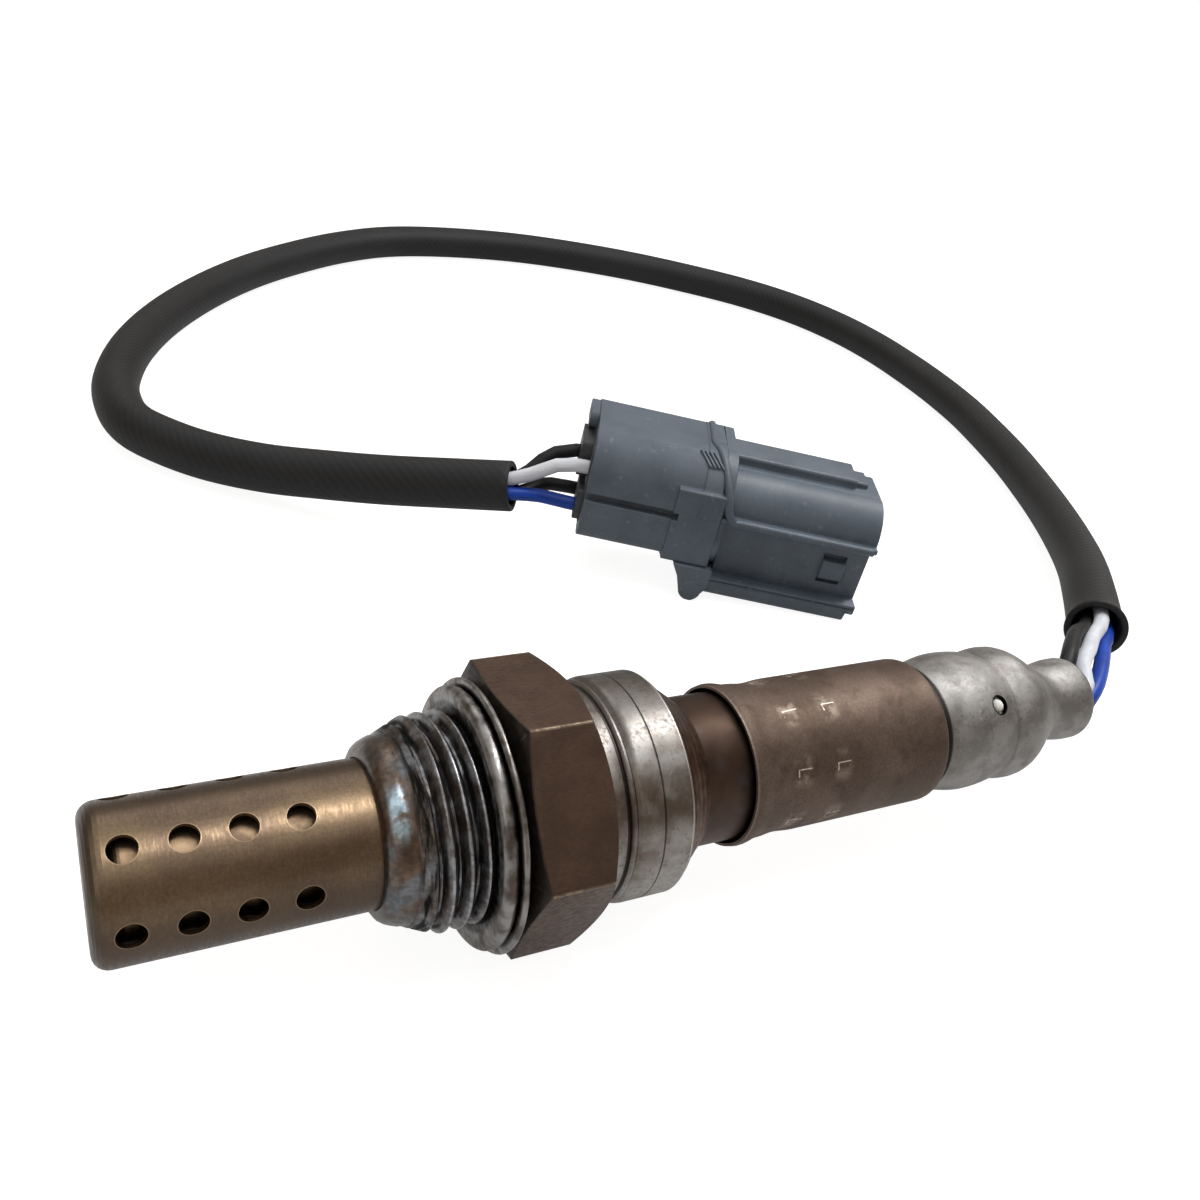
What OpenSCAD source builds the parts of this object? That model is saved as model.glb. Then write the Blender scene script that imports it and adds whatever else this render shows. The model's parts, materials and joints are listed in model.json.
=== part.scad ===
// Heated four-wire oxygen sensor with its harness and plug, lying on a table.
// The sensor lies along X, tip towards -X. The seat plane of its gasket is X = 0
// and its axis is Y = Z = 0. Millimetres, +Z up.

/* [Protector] */
// Length of the outer protector from its tip to the shell
protector_len = 20.5; // [16:0.1:26]
// Outside diameter of the outer protector
protector_d = 12.24; // [11:0.02:12.6]
// Sheet thickness of the outer protector
protector_wall = 0.5; // [0.3:0.05:0.7]
// Rounding of the protector's tip corner
protector_tip_r = 1.3; // [0.8:0.1:2]
// Outside diameter of the inner protector
inner_protector_d = 9.6; // [8.6:0.1:10]
// Sheet thickness of the inner protector
inner_protector_wall = 0.4; // [0.3:0.05:0.6]
// Gap between the two protector tips
protector_tip_gap = 1.1; // [0.6:0.1:2]
// Diameter of each gas hole in the outer protector
gas_hole_d = 2.15; // [1.6:0.05:2.6]
// Distance between the holes of one row
gas_hole_pitch = 4.1; // [3.6:0.1:4.6]
// Distance from the tip to the first hole
gas_hole_start = 2.65; // [2.4:0.05:3.6]
// Holes in each row
gas_holes_per_row = 4; // [2:1:4]
// Rows of holes around the protector
gas_hole_rows = 6; // [4:1:8]
// Diameter of each hole in the inner protector
inner_hole_d = 1.5; // [1:0.1:2]

/* [Shell] */
// Thread diameter over the crests
thread_d = 18; // [17:0.1:19]
// Length of the thread in front of the gasket seat
thread_len = 3.4; // [3:0.1:6]
// Length of the tapered nose in front of the thread
nose_len = 4.5; // [3.5:0.1:6]
// Diameter of the smooth neck that holds the gasket
neck_d = 16.8; // [16:0.1:17]
// Width of the hexagon across its flats
hex_af = 22; // [21:0.1:26]
// Length of the hexagon
hex_len = 7.5; // [6:0.1:10]
// Diameter where the hexagon's end chamfers begin
hex_face_d = 21.8; // [20:0.1:22]
// Turn of the hexagon about the sensor's axis
hex_turn = 9.5; // [0:0.5:30]
// Outside diameter of the gasket's rear bead
gasket_d = 23.8; // [22.5:0.1:24.2]
// Radial step from the gasket's rear bead down to its front bead
gasket_step = 1; // [0.8:0.05:1.2]
// Thickness of the gasket
gasket_t = 2.1; // [1.8:0.1:2.4]
// Diameter of the packing chamber inside the shell
chamber_d = 11.2; // [10.6:0.1:12]
// Outside diameter of the thin rear skirt of the shell
skirt_d = 17.2; // [16:0.1:18]
// Length of the rear skirt
skirt_len = 7.4; // [6.5:0.1:9]

/* [Collar and covers] */
// Outside diameter of the silver collar
collar_d = 20.06; // [19.4:0.02:21]
// Length of the collar's straight part
collar_len = 7.3; // [6.5:0.1:9]
// Length of the collar's rounded rear shoulder
collar_shoulder = 3.7; // [3:0.1:5]
// Outside diameter of the inner cover where it shows
inner_cover_d = 13.8; // [13.4:0.1:14]
// Outside diameter of the inner cover's rear part
inner_cover_rear_d = 13.1; // [12.9:0.05:13.2]
// Sheet thickness of the covers
cover_wall = 0.45; // [0.3:0.05:0.5]
// Distance from the collar to the outer cover's lip
cover_gap = 4.6; // [2:0.1:8]
// Outside diameter of the outer cover
outer_cover_d = 14.56; // [14.4:0.02:15]
// Length of the outer cover
outer_cover_len = 23; // [20:0.1:28]
// Extra radius of the outer cover's flared lip
lip_flare = 0.34; // [0.2:0.02:0.6]
// Depth of the crimped waist behind the lip
waist_depth = 0.16; // [0.05:0.01:0.2]

/* [End cap] */
// Dark gap between the outer cover and the end cap
cap_gap = 0.8; // [0.5:0.1:1.5]
// Length of the end cap behind the gap
cap_len = 23.4; // [21:0.1:27]
// Diameter of the first bulge
cap_bulge_d = 14.32; // [13.8:0.02:15]
// Diameter of the second bulge
cap_ring_d = 14.04; // [13.6:0.02:14.8]
// Diameter of the shallow waist between them
cap_waist_d = 13.36; // [13:0.02:13.6]
// Diameter of the deep rear neck
cap_neck_d = 8.3; // [7.8:0.1:9]
// Diameter of the rear bulge round the grommet
cap_tail_d = 8.94; // [8.6:0.02:9.4]
// Diameter of the vent hole
vent_d = 1.7; // [1:0.1:2.4]

/* [Sensing element] */
// Outside diameter of the ceramic thimble at its tip
thimble_d = 4.8; // [4.4:0.1:5.2]
// Diameter of the thimble's collar
thimble_collar_d = 9; // [8.4:0.1:9.4]
// Diameter of the thimble behind its collar
thimble_rear_d = 6.6; // [6:0.1:7]
// Diameter of the thimble's blind bore
thimble_bore_d = 3.5; // [3.3:0.1:3.8]
// Length of the thimble's rear end behind its collar
thimble_rear_len = 17.4; // [16:0.1:20]
// Diameter of the heater rod
heater_d = 2.9; // [2.6:0.05:3]
// Length of the heater rod behind the thimble
heater_tail = 7; // [5:0.5:9]

/* [Wires and sleeve] */
// Diameter of each wire over its insulation
wire_d = 1.85; // [1.5:0.05:1.9]
// Outside diameter of the black sleeve
sleeve_d = 6.8; // [6.6:0.1:7.4]
// Inside diameter of the black sleeve
sleeve_bore_d = 5.1; // [5:0.05:5.4]

/* [Plug] */
// Length of the plug's mating part
front_len = 20.7; // [18:0.1:26]
// Height of the mating part
front_h = 17; // [16:0.1:20]
// Depth of the mating part, back to latch side
front_depth = 14; // [13:0.1:18]
// Wall thickness of the mating part
front_wall = 1.2; // [0.9:0.1:1.6]
// Depth of the socket for the mating plug
socket_depth = 15.5; // [12:0.1:18]
// Length of the body behind the flange
rear_len = 15.7; // [12:0.1:20]
// Thickness of the flange
flange_t = 3.2; // [3.1:0.1:4]
// Depth of the latch channel
channel_depth = 2.4; // [1.5:0.1:3]
// Height of the latch channel
channel_h = 8.3; // [7:0.1:9]
// Height of the channel's middle above the plug's middle
channel_rise = -2.85; // [-3:0.05:0]
// Depth of the lower rail below the mating part's shell
rail_drop = 1.2; // [0.5:0.1:2]
// Length of the latch nub
nub_len = 3.2; // [2:0.1:5]
// Width of the latch nub
nub_w = 2.8; // [2:0.1:4]
// Rise of the latch nub above its channel
nub_rise = 0.6; // [0.4:0.1:2]
// Distance between the terminals along the plug's height
pin_pitch_z = 5.6; // [4.5:0.1:6]
// Distance between the terminals along the plug's depth
pin_pitch_y = 4.8; // [4:0.1:5]
// Width of each terminal's blade
pin_w = 2.2; // [1.4:0.1:2.4]
// Thickness of each terminal's blade
pin_t = 0.64; // [0.4:0.02:1]
// Length of the blades in the socket
pin_len = 8.5; // [6:0.1:10]
// Tilt of the plug, front down
plug_dip = 3.2; // [0:0.5:8]
// Turn of the plug about the vertical
plug_turn = -27; // [-40:1:0]

/* [Hidden] */
$fn = 96;
fit = 0.05;
eps = 0.01;

// Stations along the sensor's axis
seat_x = 0;
hex_x = seat_x + gasket_t;
hex_end = hex_x + hex_len;
thread_x = seat_x - thread_len;
nose_x = thread_x - nose_len;
tip_x = nose_x - protector_len;
skirt_end = hex_end + skirt_len;
collar_band_end = hex_end + collar_len;
collar_end = collar_band_end + collar_shoulder;
lip_x = collar_end + cover_gap;
outer_cover_end = lip_x + outer_cover_len;
cap_x = outer_cover_end + cap_gap;
cap_end = cap_x + cap_len;
thread_r = thread_d / 2;
neck_r = neck_d / 2;
floor_z = -gasket_d / 2;

// Protector feet clamped in the shell's nose
foot_t = protector_wall;
foot_r = protector_d / 2 + 0.95;
nose_lip = 0.55;
foot_x = nose_x + nose_lip;
inner_foot_t = inner_protector_wall;
hole_turn = 5.6;
foot_end = foot_x + foot_t + inner_foot_t;
protector_tip_t = 0.6;
inner_tip_x = tip_x + protector_tip_t + protector_tip_gap;

// Packing stack inside the shell
chamber_r = chamber_d / 2;
stack_seat_x = seat_x - 1;
washer_t = 0.4;
thimble_collar_x = stack_seat_x + washer_t;
thimble_collar_len = 4.6;
talc_x = thimble_collar_x + thimble_collar_len;
talc_len = 5;
alumina_x = talc_x + talc_len;
alumina_len = 6.2;
crimp_washer_x = alumina_x + alumina_len;
crimp_washer_t = 0.8;
thimble_end = talc_x + thimble_rear_len;
thimble_tip_x = inner_tip_x + inner_protector_wall + 1;
front_bore_r = thimble_d / 2 + 0.75;

// Inner cover, holder and contacts
flange_cover_x = skirt_end + eps;
cover_step_x = lip_x + 0.6;
inner_cover_end = outer_cover_end - 1.4;
holder_x = thimble_end + 4;
holder_len = 14;
holder_end = holder_x + holder_len;
holder_r = 5.4;
slot_radius = 3;
slot_r = 1.1;
contact_t = 0.3;
crimp_len = 6;
crimp_x = holder_x + 4;
crimp_end = crimp_x + crimp_len;
clip_len = 5;
clip_x = thimble_end - clip_len + 0.4;
cap_skirt_r = inner_cover_rear_d / 2 - cover_wall - fit;
cap_skirt_len = 4;

// Grommet and wires
grommet_x = cap_end - 10;
grommet_end = cap_end - 0.4;
grommet_hole_radius = 1.9;
wire_r = wire_d / 2;
wire_spread = 0.735 * wire_d;
slots = [45, 135, 225, 315];

// The smooth profile passes through stations of [x, r] with level tangents
function ease(a, b, n) = [for (i = [0:n - 1]) let (t = i / n)
    [a[0] + (b[0] - a[0]) * t, a[1] + (b[1] - a[1]) * (1 - cos(180 * t)) / 2]];
function smooth_line(st, n = 6) = [for (k = [0:len(st) - 2]) each ease(st[k], st[k + 1], n),
    st[len(st) - 1]];
function reversed(v) = [for (i = [len(v) - 1:-1:0]) v[i]];
function inset(line, wall) = [for (p = line) [p[0], p[1] - wall]];

// A revolved solid from an outline of [x, r] points
module turned(outline) {
    rotate([0, 90, 0]) rotate_extrude() polygon([for (p = outline) [p[1], p[0]]]);
}

module ring(x, len, r_out, r_in) {
    translate([x, 0, 0]) rotate([0, 90, 0]) difference() {
        cylinder(h = len, r = r_out);
        translate([0, 0, -1]) cylinder(h = len + 2, r = r_in);
    }
}

// Round hole outwards from radius r at an angle from -Y towards +Z
module radial_hole(x, angle, d, r) {
    translate([x, 0, 0]) rotate([90 - angle, 0, 0]) translate([0, 0, r]) cylinder(h = 4, d = d);
}

module cup(x, end, r, wall, tip_t, tip_r, foot_radius, foot_len) {
    arc = [for (a = [180:-15:90]) [x + tip_r + tip_r * cos(a), r - tip_r + tip_r * sin(a)]];
    turned(concat([[x, 0]], arc, [[end - foot_len, r], [end - foot_len, foot_radius],
        [end, foot_radius], [end, r - wall], [x + tip_t, r - wall], [x + tip_t, 0]]));
}

module outer_protector() {
    color("#6b5847") difference() {
        cup(tip_x, foot_x + foot_t, protector_d / 2, protector_wall, protector_tip_t,
            protector_tip_r, foot_r, foot_t);
        for (i = [0:gas_holes_per_row - 1], k = [0:gas_hole_rows - 1])
            radial_hole(tip_x + gas_hole_start + i * gas_hole_pitch,
                hole_turn + k * 360 / gas_hole_rows, gas_hole_d, protector_d / 2 - 2);
    }
}

module inner_protector() {
    color("#57473a") difference() {
        cup(inner_tip_x, foot_end, inner_protector_d / 2, inner_protector_wall,
            inner_protector_wall, 0.8, foot_r, inner_foot_t);
        for (i = [0:gas_holes_per_row - 2], k = [0:gas_hole_rows - 1])
            radial_hole(tip_x + gas_hole_start + (i + 0.5) * gas_hole_pitch,
                hole_turn + (k + 0.5) * 360 / gas_hole_rows, inner_hole_d, inner_protector_d / 2 - 2);
        translate([inner_tip_x - 1, 0, 0]) rotate([0, 90, 0]) cylinder(h = 3, d = inner_hole_d);
    }
}

module sensing_thimble() {
    tip = thimble_d / 2;
    bore = thimble_bore_d / 2;
    dome = [for (a = [180:-15:90]) [thimble_tip_x + tip + tip * cos(a), tip * sin(a)]];
    pocket = [for (a = [90:15:180]) [thimble_tip_x + tip + bore * cos(a), bore * sin(a)]];
    color("#e8e2d4") turned(concat(dome,
        [[foot_end, tip], [stack_seat_x, tip + 0.3], [thimble_collar_x, tip + 0.4],
        [thimble_collar_x, thimble_collar_d / 2 - 0.5], [thimble_collar_x + 0.5, thimble_collar_d / 2],
        [talc_x - 1, thimble_collar_d / 2], [talc_x, thimble_rear_d / 2],
        [thimble_end, thimble_rear_d / 2], [thimble_end, bore]], pocket));
}

module heater_rod() {
    start = thimble_tip_x + thimble_d / 2 - thimble_bore_d / 2 + 0.3;
    r = heater_d / 2;
    color("#d9d4c8") turned([[start, 0], [start, r - 0.5], [start + 0.5, r],
        [thimble_end + heater_tail, r], [thimble_end + heater_tail, 0]]);
}

module hex_prism() {
    corner_r = hex_af / sqrt(3);
    face_r = hex_face_d / 2;
    rise = (corner_r + 0.5 - face_r) * tan(30);
    intersection() {
        translate([hex_x, 0, 0]) rotate([30 - hex_turn, 0, 0]) rotate([0, 90, 0])
            linear_extrude(hex_len) circle(r = corner_r, $fn = 6);
        turned([[hex_x, 0], [hex_x, face_r], [hex_x + rise, corner_r + 0.5],
            [hex_end - rise, corner_r + 0.5], [hex_end, face_r], [hex_end, 0]]);
    }
}

module threaded_shell() {
    lip_r = protector_d / 2 + fit;
    color("#4a3b33") difference() {
        union() {
            turned([[nose_x, 0], [nose_x, lip_r + 0.25], [nose_x + 0.15, foot_r - 0.25],
                [nose_x + 0.5, foot_r + 0.3], [nose_x + 1.2, foot_r + 0.45],
                [thread_x - 0.2, thread_r - 0.35], [thread_x, thread_r],
                [seat_x, thread_r], [seat_x, neck_r], [hex_x + 0.1, neck_r],
                [hex_x + 0.1, skirt_d / 2], [skirt_end, skirt_d / 2], [skirt_end, 0]]);
            hex_prism();
        }
        turned([[nose_x - 1, 0], [nose_x - 1, lip_r], [foot_x, lip_r], [foot_x, foot_r + fit],
            [foot_end, foot_r + fit], [foot_end, front_bore_r], [stack_seat_x, front_bore_r],
            [stack_seat_x, chamber_r], [crimp_washer_x + crimp_washer_t, chamber_r],
            [crimp_washer_x + crimp_washer_t, chamber_r - 0.7], [skirt_end + 1, chamber_r - 0.7],
            [skirt_end + 1, 0]]);
    }
}

// Folded sheet gasket: a fat front bead and a wider thin rear bead
module seal_gasket() {
    rear_r = gasket_d / 2;
    front_r = rear_r - gasket_step;
    bead = 0.36 * gasket_t;
    edge = 0.19 * gasket_t;
    front = [for (a = [180:-14:40]) [bead + bead * cos(a), front_r - bead + bead * sin(a)]];
    rear = [for (a = [180:-20:0])
        [gasket_t - edge + edge * cos(a), rear_r - edge + edge * sin(a)]];
    inner_r = neck_r + 0.1;
    color("#9a9a98") translate([seat_x, 0, 0]) turned(concat(
        [[0.15 * gasket_t, inner_r], [0, thread_r + 0.1]], front,
        [[0.69 * gasket_t, front_r - 0.4], [0.62 * gasket_t, front_r]], rear,
        [[gasket_t, inner_r]]));
}

module seat_washer() {
    color("#b0aca4") ring(stack_seat_x, washer_t, thimble_collar_d / 2, thimble_d / 2 + 0.6);
}

module talc_packing() {
    color("#cfc8b4") ring(talc_x, talc_len, chamber_r - fit, thimble_rear_d / 2 + fit);
}

module alumina_sleeve() {
    color("#efece4") ring(alumina_x, alumina_len, chamber_r - fit, thimble_rear_d / 2 + fit);
}

module crimp_washer() {
    color("#8d8d8a") ring(crimp_washer_x, crimp_washer_t, chamber_r - fit, chamber_r - 1.4);
}

// Turned collar: grooves beside the hexagon, a scored band and a rounded rear shoulder
module weld_collar() {
    r = collar_d / 2;
    rear_r = inner_cover_d / 2 + 0.35;
    score_x = hex_end + 0.55 * collar_len;
    steps = [[hex_end, r - 0.45], [hex_end + 0.6, r - 0.45], [hex_end + 0.75, r - 0.2],
        [hex_end + 1.05, r - 0.2], [hex_end + 1.15, r - 0.6], [hex_end + 1.55, r - 0.6],
        [hex_end + 1.75, r - 0.15], [hex_end + 2.1, r], [score_x - 0.15, r],
        [score_x, r - 0.12], [score_x + 0.15, r]];
    shoulder = [for (a = [90:-10:0]) [collar_band_end + (collar_shoulder - 0.4) * cos(a),
        rear_r + (r - rear_r) * pow(sin(a), 1.35)]];
    flange_end = flange_cover_x + cover_wall;
    color("#b9bab8") turned(concat(steps, shoulder,
        [[collar_end, rear_r - 0.1], [collar_end, inner_cover_d / 2 + fit],
        [collar_end - 1.6, inner_cover_d / 2 + fit], [flange_end + 0.25, skirt_d / 2 + fit],
        [hex_end, skirt_d / 2 + fit]]));
}

module inner_cover() {
    r = inner_cover_d / 2;
    rear_r = inner_cover_rear_d / 2;
    line = [[flange_cover_x, skirt_d / 2 - 0.1], [flange_cover_x + cover_wall, skirt_d / 2 - 0.1],
        [flange_cover_x + cover_wall, r], [cover_step_x, r], [cover_step_x + 1.2, rear_r],
        [inner_cover_end, rear_r], [inner_cover_end, rear_r - cover_wall],
        [cover_step_x + 1.2, rear_r - cover_wall], [cover_step_x, r - cover_wall],
        [flange_cover_x, r - cover_wall]];
    color("#5a4638") turned(line);
}

// Outer cover with a flared lip, a crimped waist and a curled rear edge
module outer_cover() {
    r = outer_cover_d / 2;
    curl = 0.9;
    waist_r = r - waist_depth;
    body = smooth_line([[lip_x, r + lip_flare - 0.08], [lip_x + 0.9, r + lip_flare],
        [lip_x + 4.6, waist_r], [lip_x + 7, r]], 5);
    edge = [for (a = [90:-15:15]) [outer_cover_end - curl + curl * cos(a),
        r - curl * 0.7 + 0.7 * curl * sin(a)]];
    outer = concat(body, edge);
    color("#6b5b50") turned(concat(outer, reversed(inset(outer, cover_wall))));
}

// Places of the cap's first bulge, waist, second bulge, neck and tail bulge
bulge_x = cap_x + 0.184 * cap_len;
waist_x = cap_x + 0.359 * cap_len;
ring_x = cap_x + 0.466 * cap_len;
neck_x = cap_x + 0.752 * cap_len;
tail_x = cap_x + 0.889 * cap_len;
vent_x = (bulge_x + waist_x) / 2 - 0.45;
cap_line = concat(
    [[cap_x, cap_waist_d / 2 - 0.16]],
    smooth_line([[cap_x + 0.25, cap_waist_d / 2 - 0.06], [bulge_x, cap_bulge_d / 2],
        [waist_x, cap_waist_d / 2], [ring_x, cap_ring_d / 2],
        [neck_x, cap_neck_d / 2], [tail_x, cap_tail_d / 2]], 6),
    [for (a = [75:-15:15]) [cap_end - 1.9 + 1.9 * cos(a), cap_tail_d / 2 - 1.1 + 1.1 * sin(a)]],
    [[cap_end, cap_tail_d / 2 - 1.1]]);

module end_cap() {
    inner = reversed(inset([for (p = cap_line) if (p[0] < cap_end - 1) p], cover_wall));
    mouth_r = cap_tail_d / 2 - 1.25;
    skirt_x = cap_x - cap_skirt_len;
    color("#a5a5a3") difference() {
        turned(concat([[skirt_x, cap_skirt_r], [cap_x, cap_skirt_r]], cap_line,
            [[cap_end, mouth_r], [cap_end - 0.5, mouth_r]], inner,
            [[cap_x + 0.2, cap_skirt_r - cover_wall], [skirt_x, cap_skirt_r - cover_wall]]));
        radial_hole(vent_x, 49, vent_d, cap_bulge_d / 2 - 2);
    }
}

module vent_filter() {
    r = cap_waist_d / 2 - cover_wall - 0.1;
    color("#f2f2ee") ring(vent_x - 2.5, 5, r, r - 0.4);
}

module grommet() {
    outer = [for (p = inset(cap_line, cover_wall + fit)) if (p[0] > grommet_x && p[0] < cap_end - 1) p];
    mouth_r = cap_tail_d / 2 - 1.3;
    color("#2b2b2b") difference() {
        turned(concat([[grommet_x, 0], [grommet_x, 4.4]], outer,
            [[cap_end - 0.7, mouth_r], [grommet_end, mouth_r], [grommet_end, 0]]));
        for (a = slots)
            translate([grommet_x - 1, grommet_hole_radius * cos(a), grommet_hole_radius * sin(a)])
                rotate([0, 90, 0]) cylinder(h = 13, r = wire_r + 0.03, $fn = 32);
    }
}

module contact_holder() {
    color("#e6e1d5") difference() {
        ring(holder_x, holder_len, holder_r, heater_d / 2 + 0.15);
        for (a = slots) translate([holder_x - 1, slot_radius * cos(a), slot_radius * sin(a)])
            rotate([0, 90, 0]) cylinder(h = holder_len + 2, r = slot_r, $fn = 48);
    }
}

// Split ring that grips the holder inside the inner cover
module holder_spring() {
    outer_r = inner_cover_rear_d / 2 - cover_wall - fit;
    color("#a9a9a4") difference() {
        ring(holder_x + 4, 4, outer_r, holder_r + fit);
        for (a = [0:60:300]) rotate([a, 0, 0]) translate([holder_x + 5, -0.4, holder_r - 1])
            cube([4, 0.8, 3]);
    }
}

// Spring strip from a clip into one slot of the holder
module contact_tail(angle, r, x) {
    rotate([angle, 0, 0]) translate([x, r, -0.6])
        cube([crimp_x - x, contact_t, 1.2]);
}

module signal_contact() {
    r_out = thimble_bore_d / 2 - 0.03;
    r_in = heater_d / 2 + 0.05;
    head_r = slot_radius + contact_t;
    color("#c9c4b8") union() {
        ring(clip_x, thimble_end - clip_x + 0.6, r_out, r_in);
        ring(thimble_end + 0.3, contact_t, head_r, r_in);
        contact_tail(slots[1], slot_radius, thimble_end + 0.3);
    }
}

module ground_contact() {
    r_in = thimble_rear_d / 2 + 0.03;
    color("#bfb9aa") union() {
        difference() {
            ring(clip_x, clip_len - 0.6, r_in + contact_t, r_in);
            rotate([slots[0] + 180, 0, 0]) translate([clip_x - 1, 2, -0.5]) cube([clip_len + 2, 3, 1]);
        }
        contact_tail(slots[0], r_in, clip_x + 1);
    }
}

module heater_contacts() {
    x = thimble_end + 1.4;
    color("#b8b2a2") for (a = [slots[2], slots[3]]) rotate([a, 0, 0]) {
        translate([x, heater_d / 2 + 0.03, -0.6]) cube([contact_t, slot_radius - heater_d / 2, 1.2]);
        translate([x, slot_radius, -0.6]) cube([crimp_x - x, contact_t, 1.2]);
    }
}

module wire_crimps() {
    color("#c4b68e") for (a = slots)
        translate([0, slot_radius * cos(a), slot_radius * sin(a)])
            ring(crimp_x, crimp_len, 0.95, 0.55);
}

// Plug frame: local x along the plug, -y to the latch side, origin in the flange's front plane
half_h = front_h / 2;
half_d = front_depth / 2;
plug_drop = tan(plug_dip);
rail_low = -half_h - rail_drop;
rail_front = front_len - 1.2;
plug_pos = [55.4, 48.5, floor_z - rail_low * cos(plug_dip) + rail_front * sin(plug_dip)];
pin_mid = [0.5, 0.3];
cell_rows = [for (sz = [1, -1], sy = [-1, 1])
    [-pin_mid[0] + sy * pin_pitch_y / 2, pin_mid[1] + sz * pin_pitch_z / 2]];
flange_x = -flange_t;
rear_x = flange_x - rear_len;
socket_x = front_len - socket_depth;
chamber_x = -6;
chamber_low = [-4.9, -4.4];
chamber_high = [5.6, 6.4];

function turn_y(p, a) = [p[0] * cos(a) + p[2] * sin(a), p[1], -p[0] * sin(a) + p[2] * cos(a)];
function turn_z(p, a) = [p[0] * cos(a) - p[1] * sin(a), p[0] * sin(a) + p[1] * cos(a), p[2]];
function from_plug(p) = turn_z(turn_y(p, plug_dip), plug_turn) + plug_pos;

module in_plug_place() {
    translate(plug_pos) rotate([0, plug_dip, plug_turn]) children();
}

// Section drawn in y and z, extruded along the plug from x0 to x1
module along_plug(x0, x1) {
    translate([x0, 0, 0]) rotate([90, 0, 90]) linear_extrude(x1 - x0) children();
}

module soft_rect(y0, z0, y1, z1, r) {
    hw = [y1 - y0, z1 - z0];
    union() {
        translate([y0 + r, z0]) square([hw[0] - 2 * r, hw[1]]);
        translate([y0, z0 + r]) square([hw[0], hw[1] - 2 * r]);
        for (y = [y0 + r, y1 - r], z = [z0 + r, z1 - r]) translate([y, z]) circle(r = r);
    }
}

channel_top = channel_rise + channel_h / 2;
channel_low = channel_rise - channel_h / 2;
channel_y = -half_d + channel_depth;
roof_z = half_h - 1.8;
rib_top = half_h - 0.5;
dome_y = -1.2;
dome_r = 4.8;
ledge_t = 0.7;
rear_top = half_h + 0.4;
rear_corner = 6.3;
rear_side = -half_d + 0.4;
flange_r = 7.5;
flange_mid = [-half_d - 0.3 + flange_r, rear_top + 0.2 - flange_r];

// Outside of the mating part: domed shoulder, ledge, latch channel and lower rail
module front_section() {
    difference() {
        union() {
            soft_rect(dome_y, -half_h, half_d, roof_z, 1);
            translate([dome_y, roof_z - dome_r]) circle(r = dome_r);
            soft_rect(-half_d, -half_h, half_d, channel_low, 0.8);
            translate([-half_d, channel_low - 0.5])
                square([half_d, channel_top + ledge_t + 0.5 - channel_low]);
        }
        translate([-half_d - 1, channel_low]) square([1 + channel_depth, channel_h]);
        translate([-half_d - 1, channel_low - 1]) square([1.01, 1]);
    }
}

// Lower rail, rounded where it meets the channel
module rail_section() {
    soft_rect(-half_d, rail_low, half_d, channel_low, 0.8);
}

module front_cavity() {
    roof = roof_z - front_wall;
    side_y = channel_y + front_wall;
    difference() {
        union() {
            soft_rect(side_y, -half_h + front_wall, half_d - front_wall, channel_top, 1);
            soft_rect(dome_y, -half_h + front_wall, half_d - front_wall, roof, 1);
            translate([dome_y, roof_z - dome_r]) circle(r = dome_r - front_wall);
        }
        translate([-half_d, -half_h]) square([half_d + side_y, half_h + channel_top + front_wall]);
    }
}

// Body behind the flange: a domed upper shell and a rounded lower tube
module rear_section() {
    low_z = -half_h + 2.5;
    union() {
        soft_rect(rear_side + rear_corner, low_z + 0.1, half_d + 1.2, rear_top, 0.8);
        translate([rear_side + rear_corner, rear_top - rear_corner]) circle(r = rear_corner);
        translate([rear_side, low_z + 3]) square([rear_corner, rear_top - rear_corner - low_z - 3]);
        soft_rect(-half_d + 0.1, low_z, 0, channel_rise + 3.3, 3);
    }
}

module flange_section(shrink = 0, top = rear_top + 1) {
    r = flange_r - shrink;
    difference() {
        union() {
            translate(flange_mid) circle(r = r);
            soft_rect(flange_mid[0], 0, half_d + 1.4 - shrink, flange_mid[1] + r, 1.6);
        }
        translate([-half_d - 2, -half_h]) square([flange_mid[0] + half_d + 2, half_h + channel_top]);
        translate([-half_d - 2, top]) square([2 * half_d + 5, 2]);
    }
}

// One slanted grip bar on the flange's shoulder
module grip_bar(x) {
    turn = 61;
    translate([x, flange_mid[0] - flange_r * cos(turn), flange_mid[1] + flange_r * sin(turn)])
        rotate([90 - turn, 0, 0]) rotate([0, 0, 31]) cube([0.32, 3, 0.5], center = true);
}

// Foot under the flange, tapered from the mid block down to a round end on the table
module flange_foot() {
    end_r = 0.9;
    end_x = -2;
    end_z = rail_low - (rail_front - end_x) * plug_drop + end_r;
    translate([0, -1, 0]) rotate([90, 0, 0]) linear_extrude(half_d - 0.4) union() {
        polygon([[-5.4, channel_low + 1.2], [end_x - end_r * 0.94, end_z - end_r * 0.34],
            [end_x + end_r * 0.8, end_z - end_r * 0.6], [0, -half_h], [0, channel_low + 1.2]]);
        translate([end_x, end_z]) circle(r = end_r);
    }
}

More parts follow.
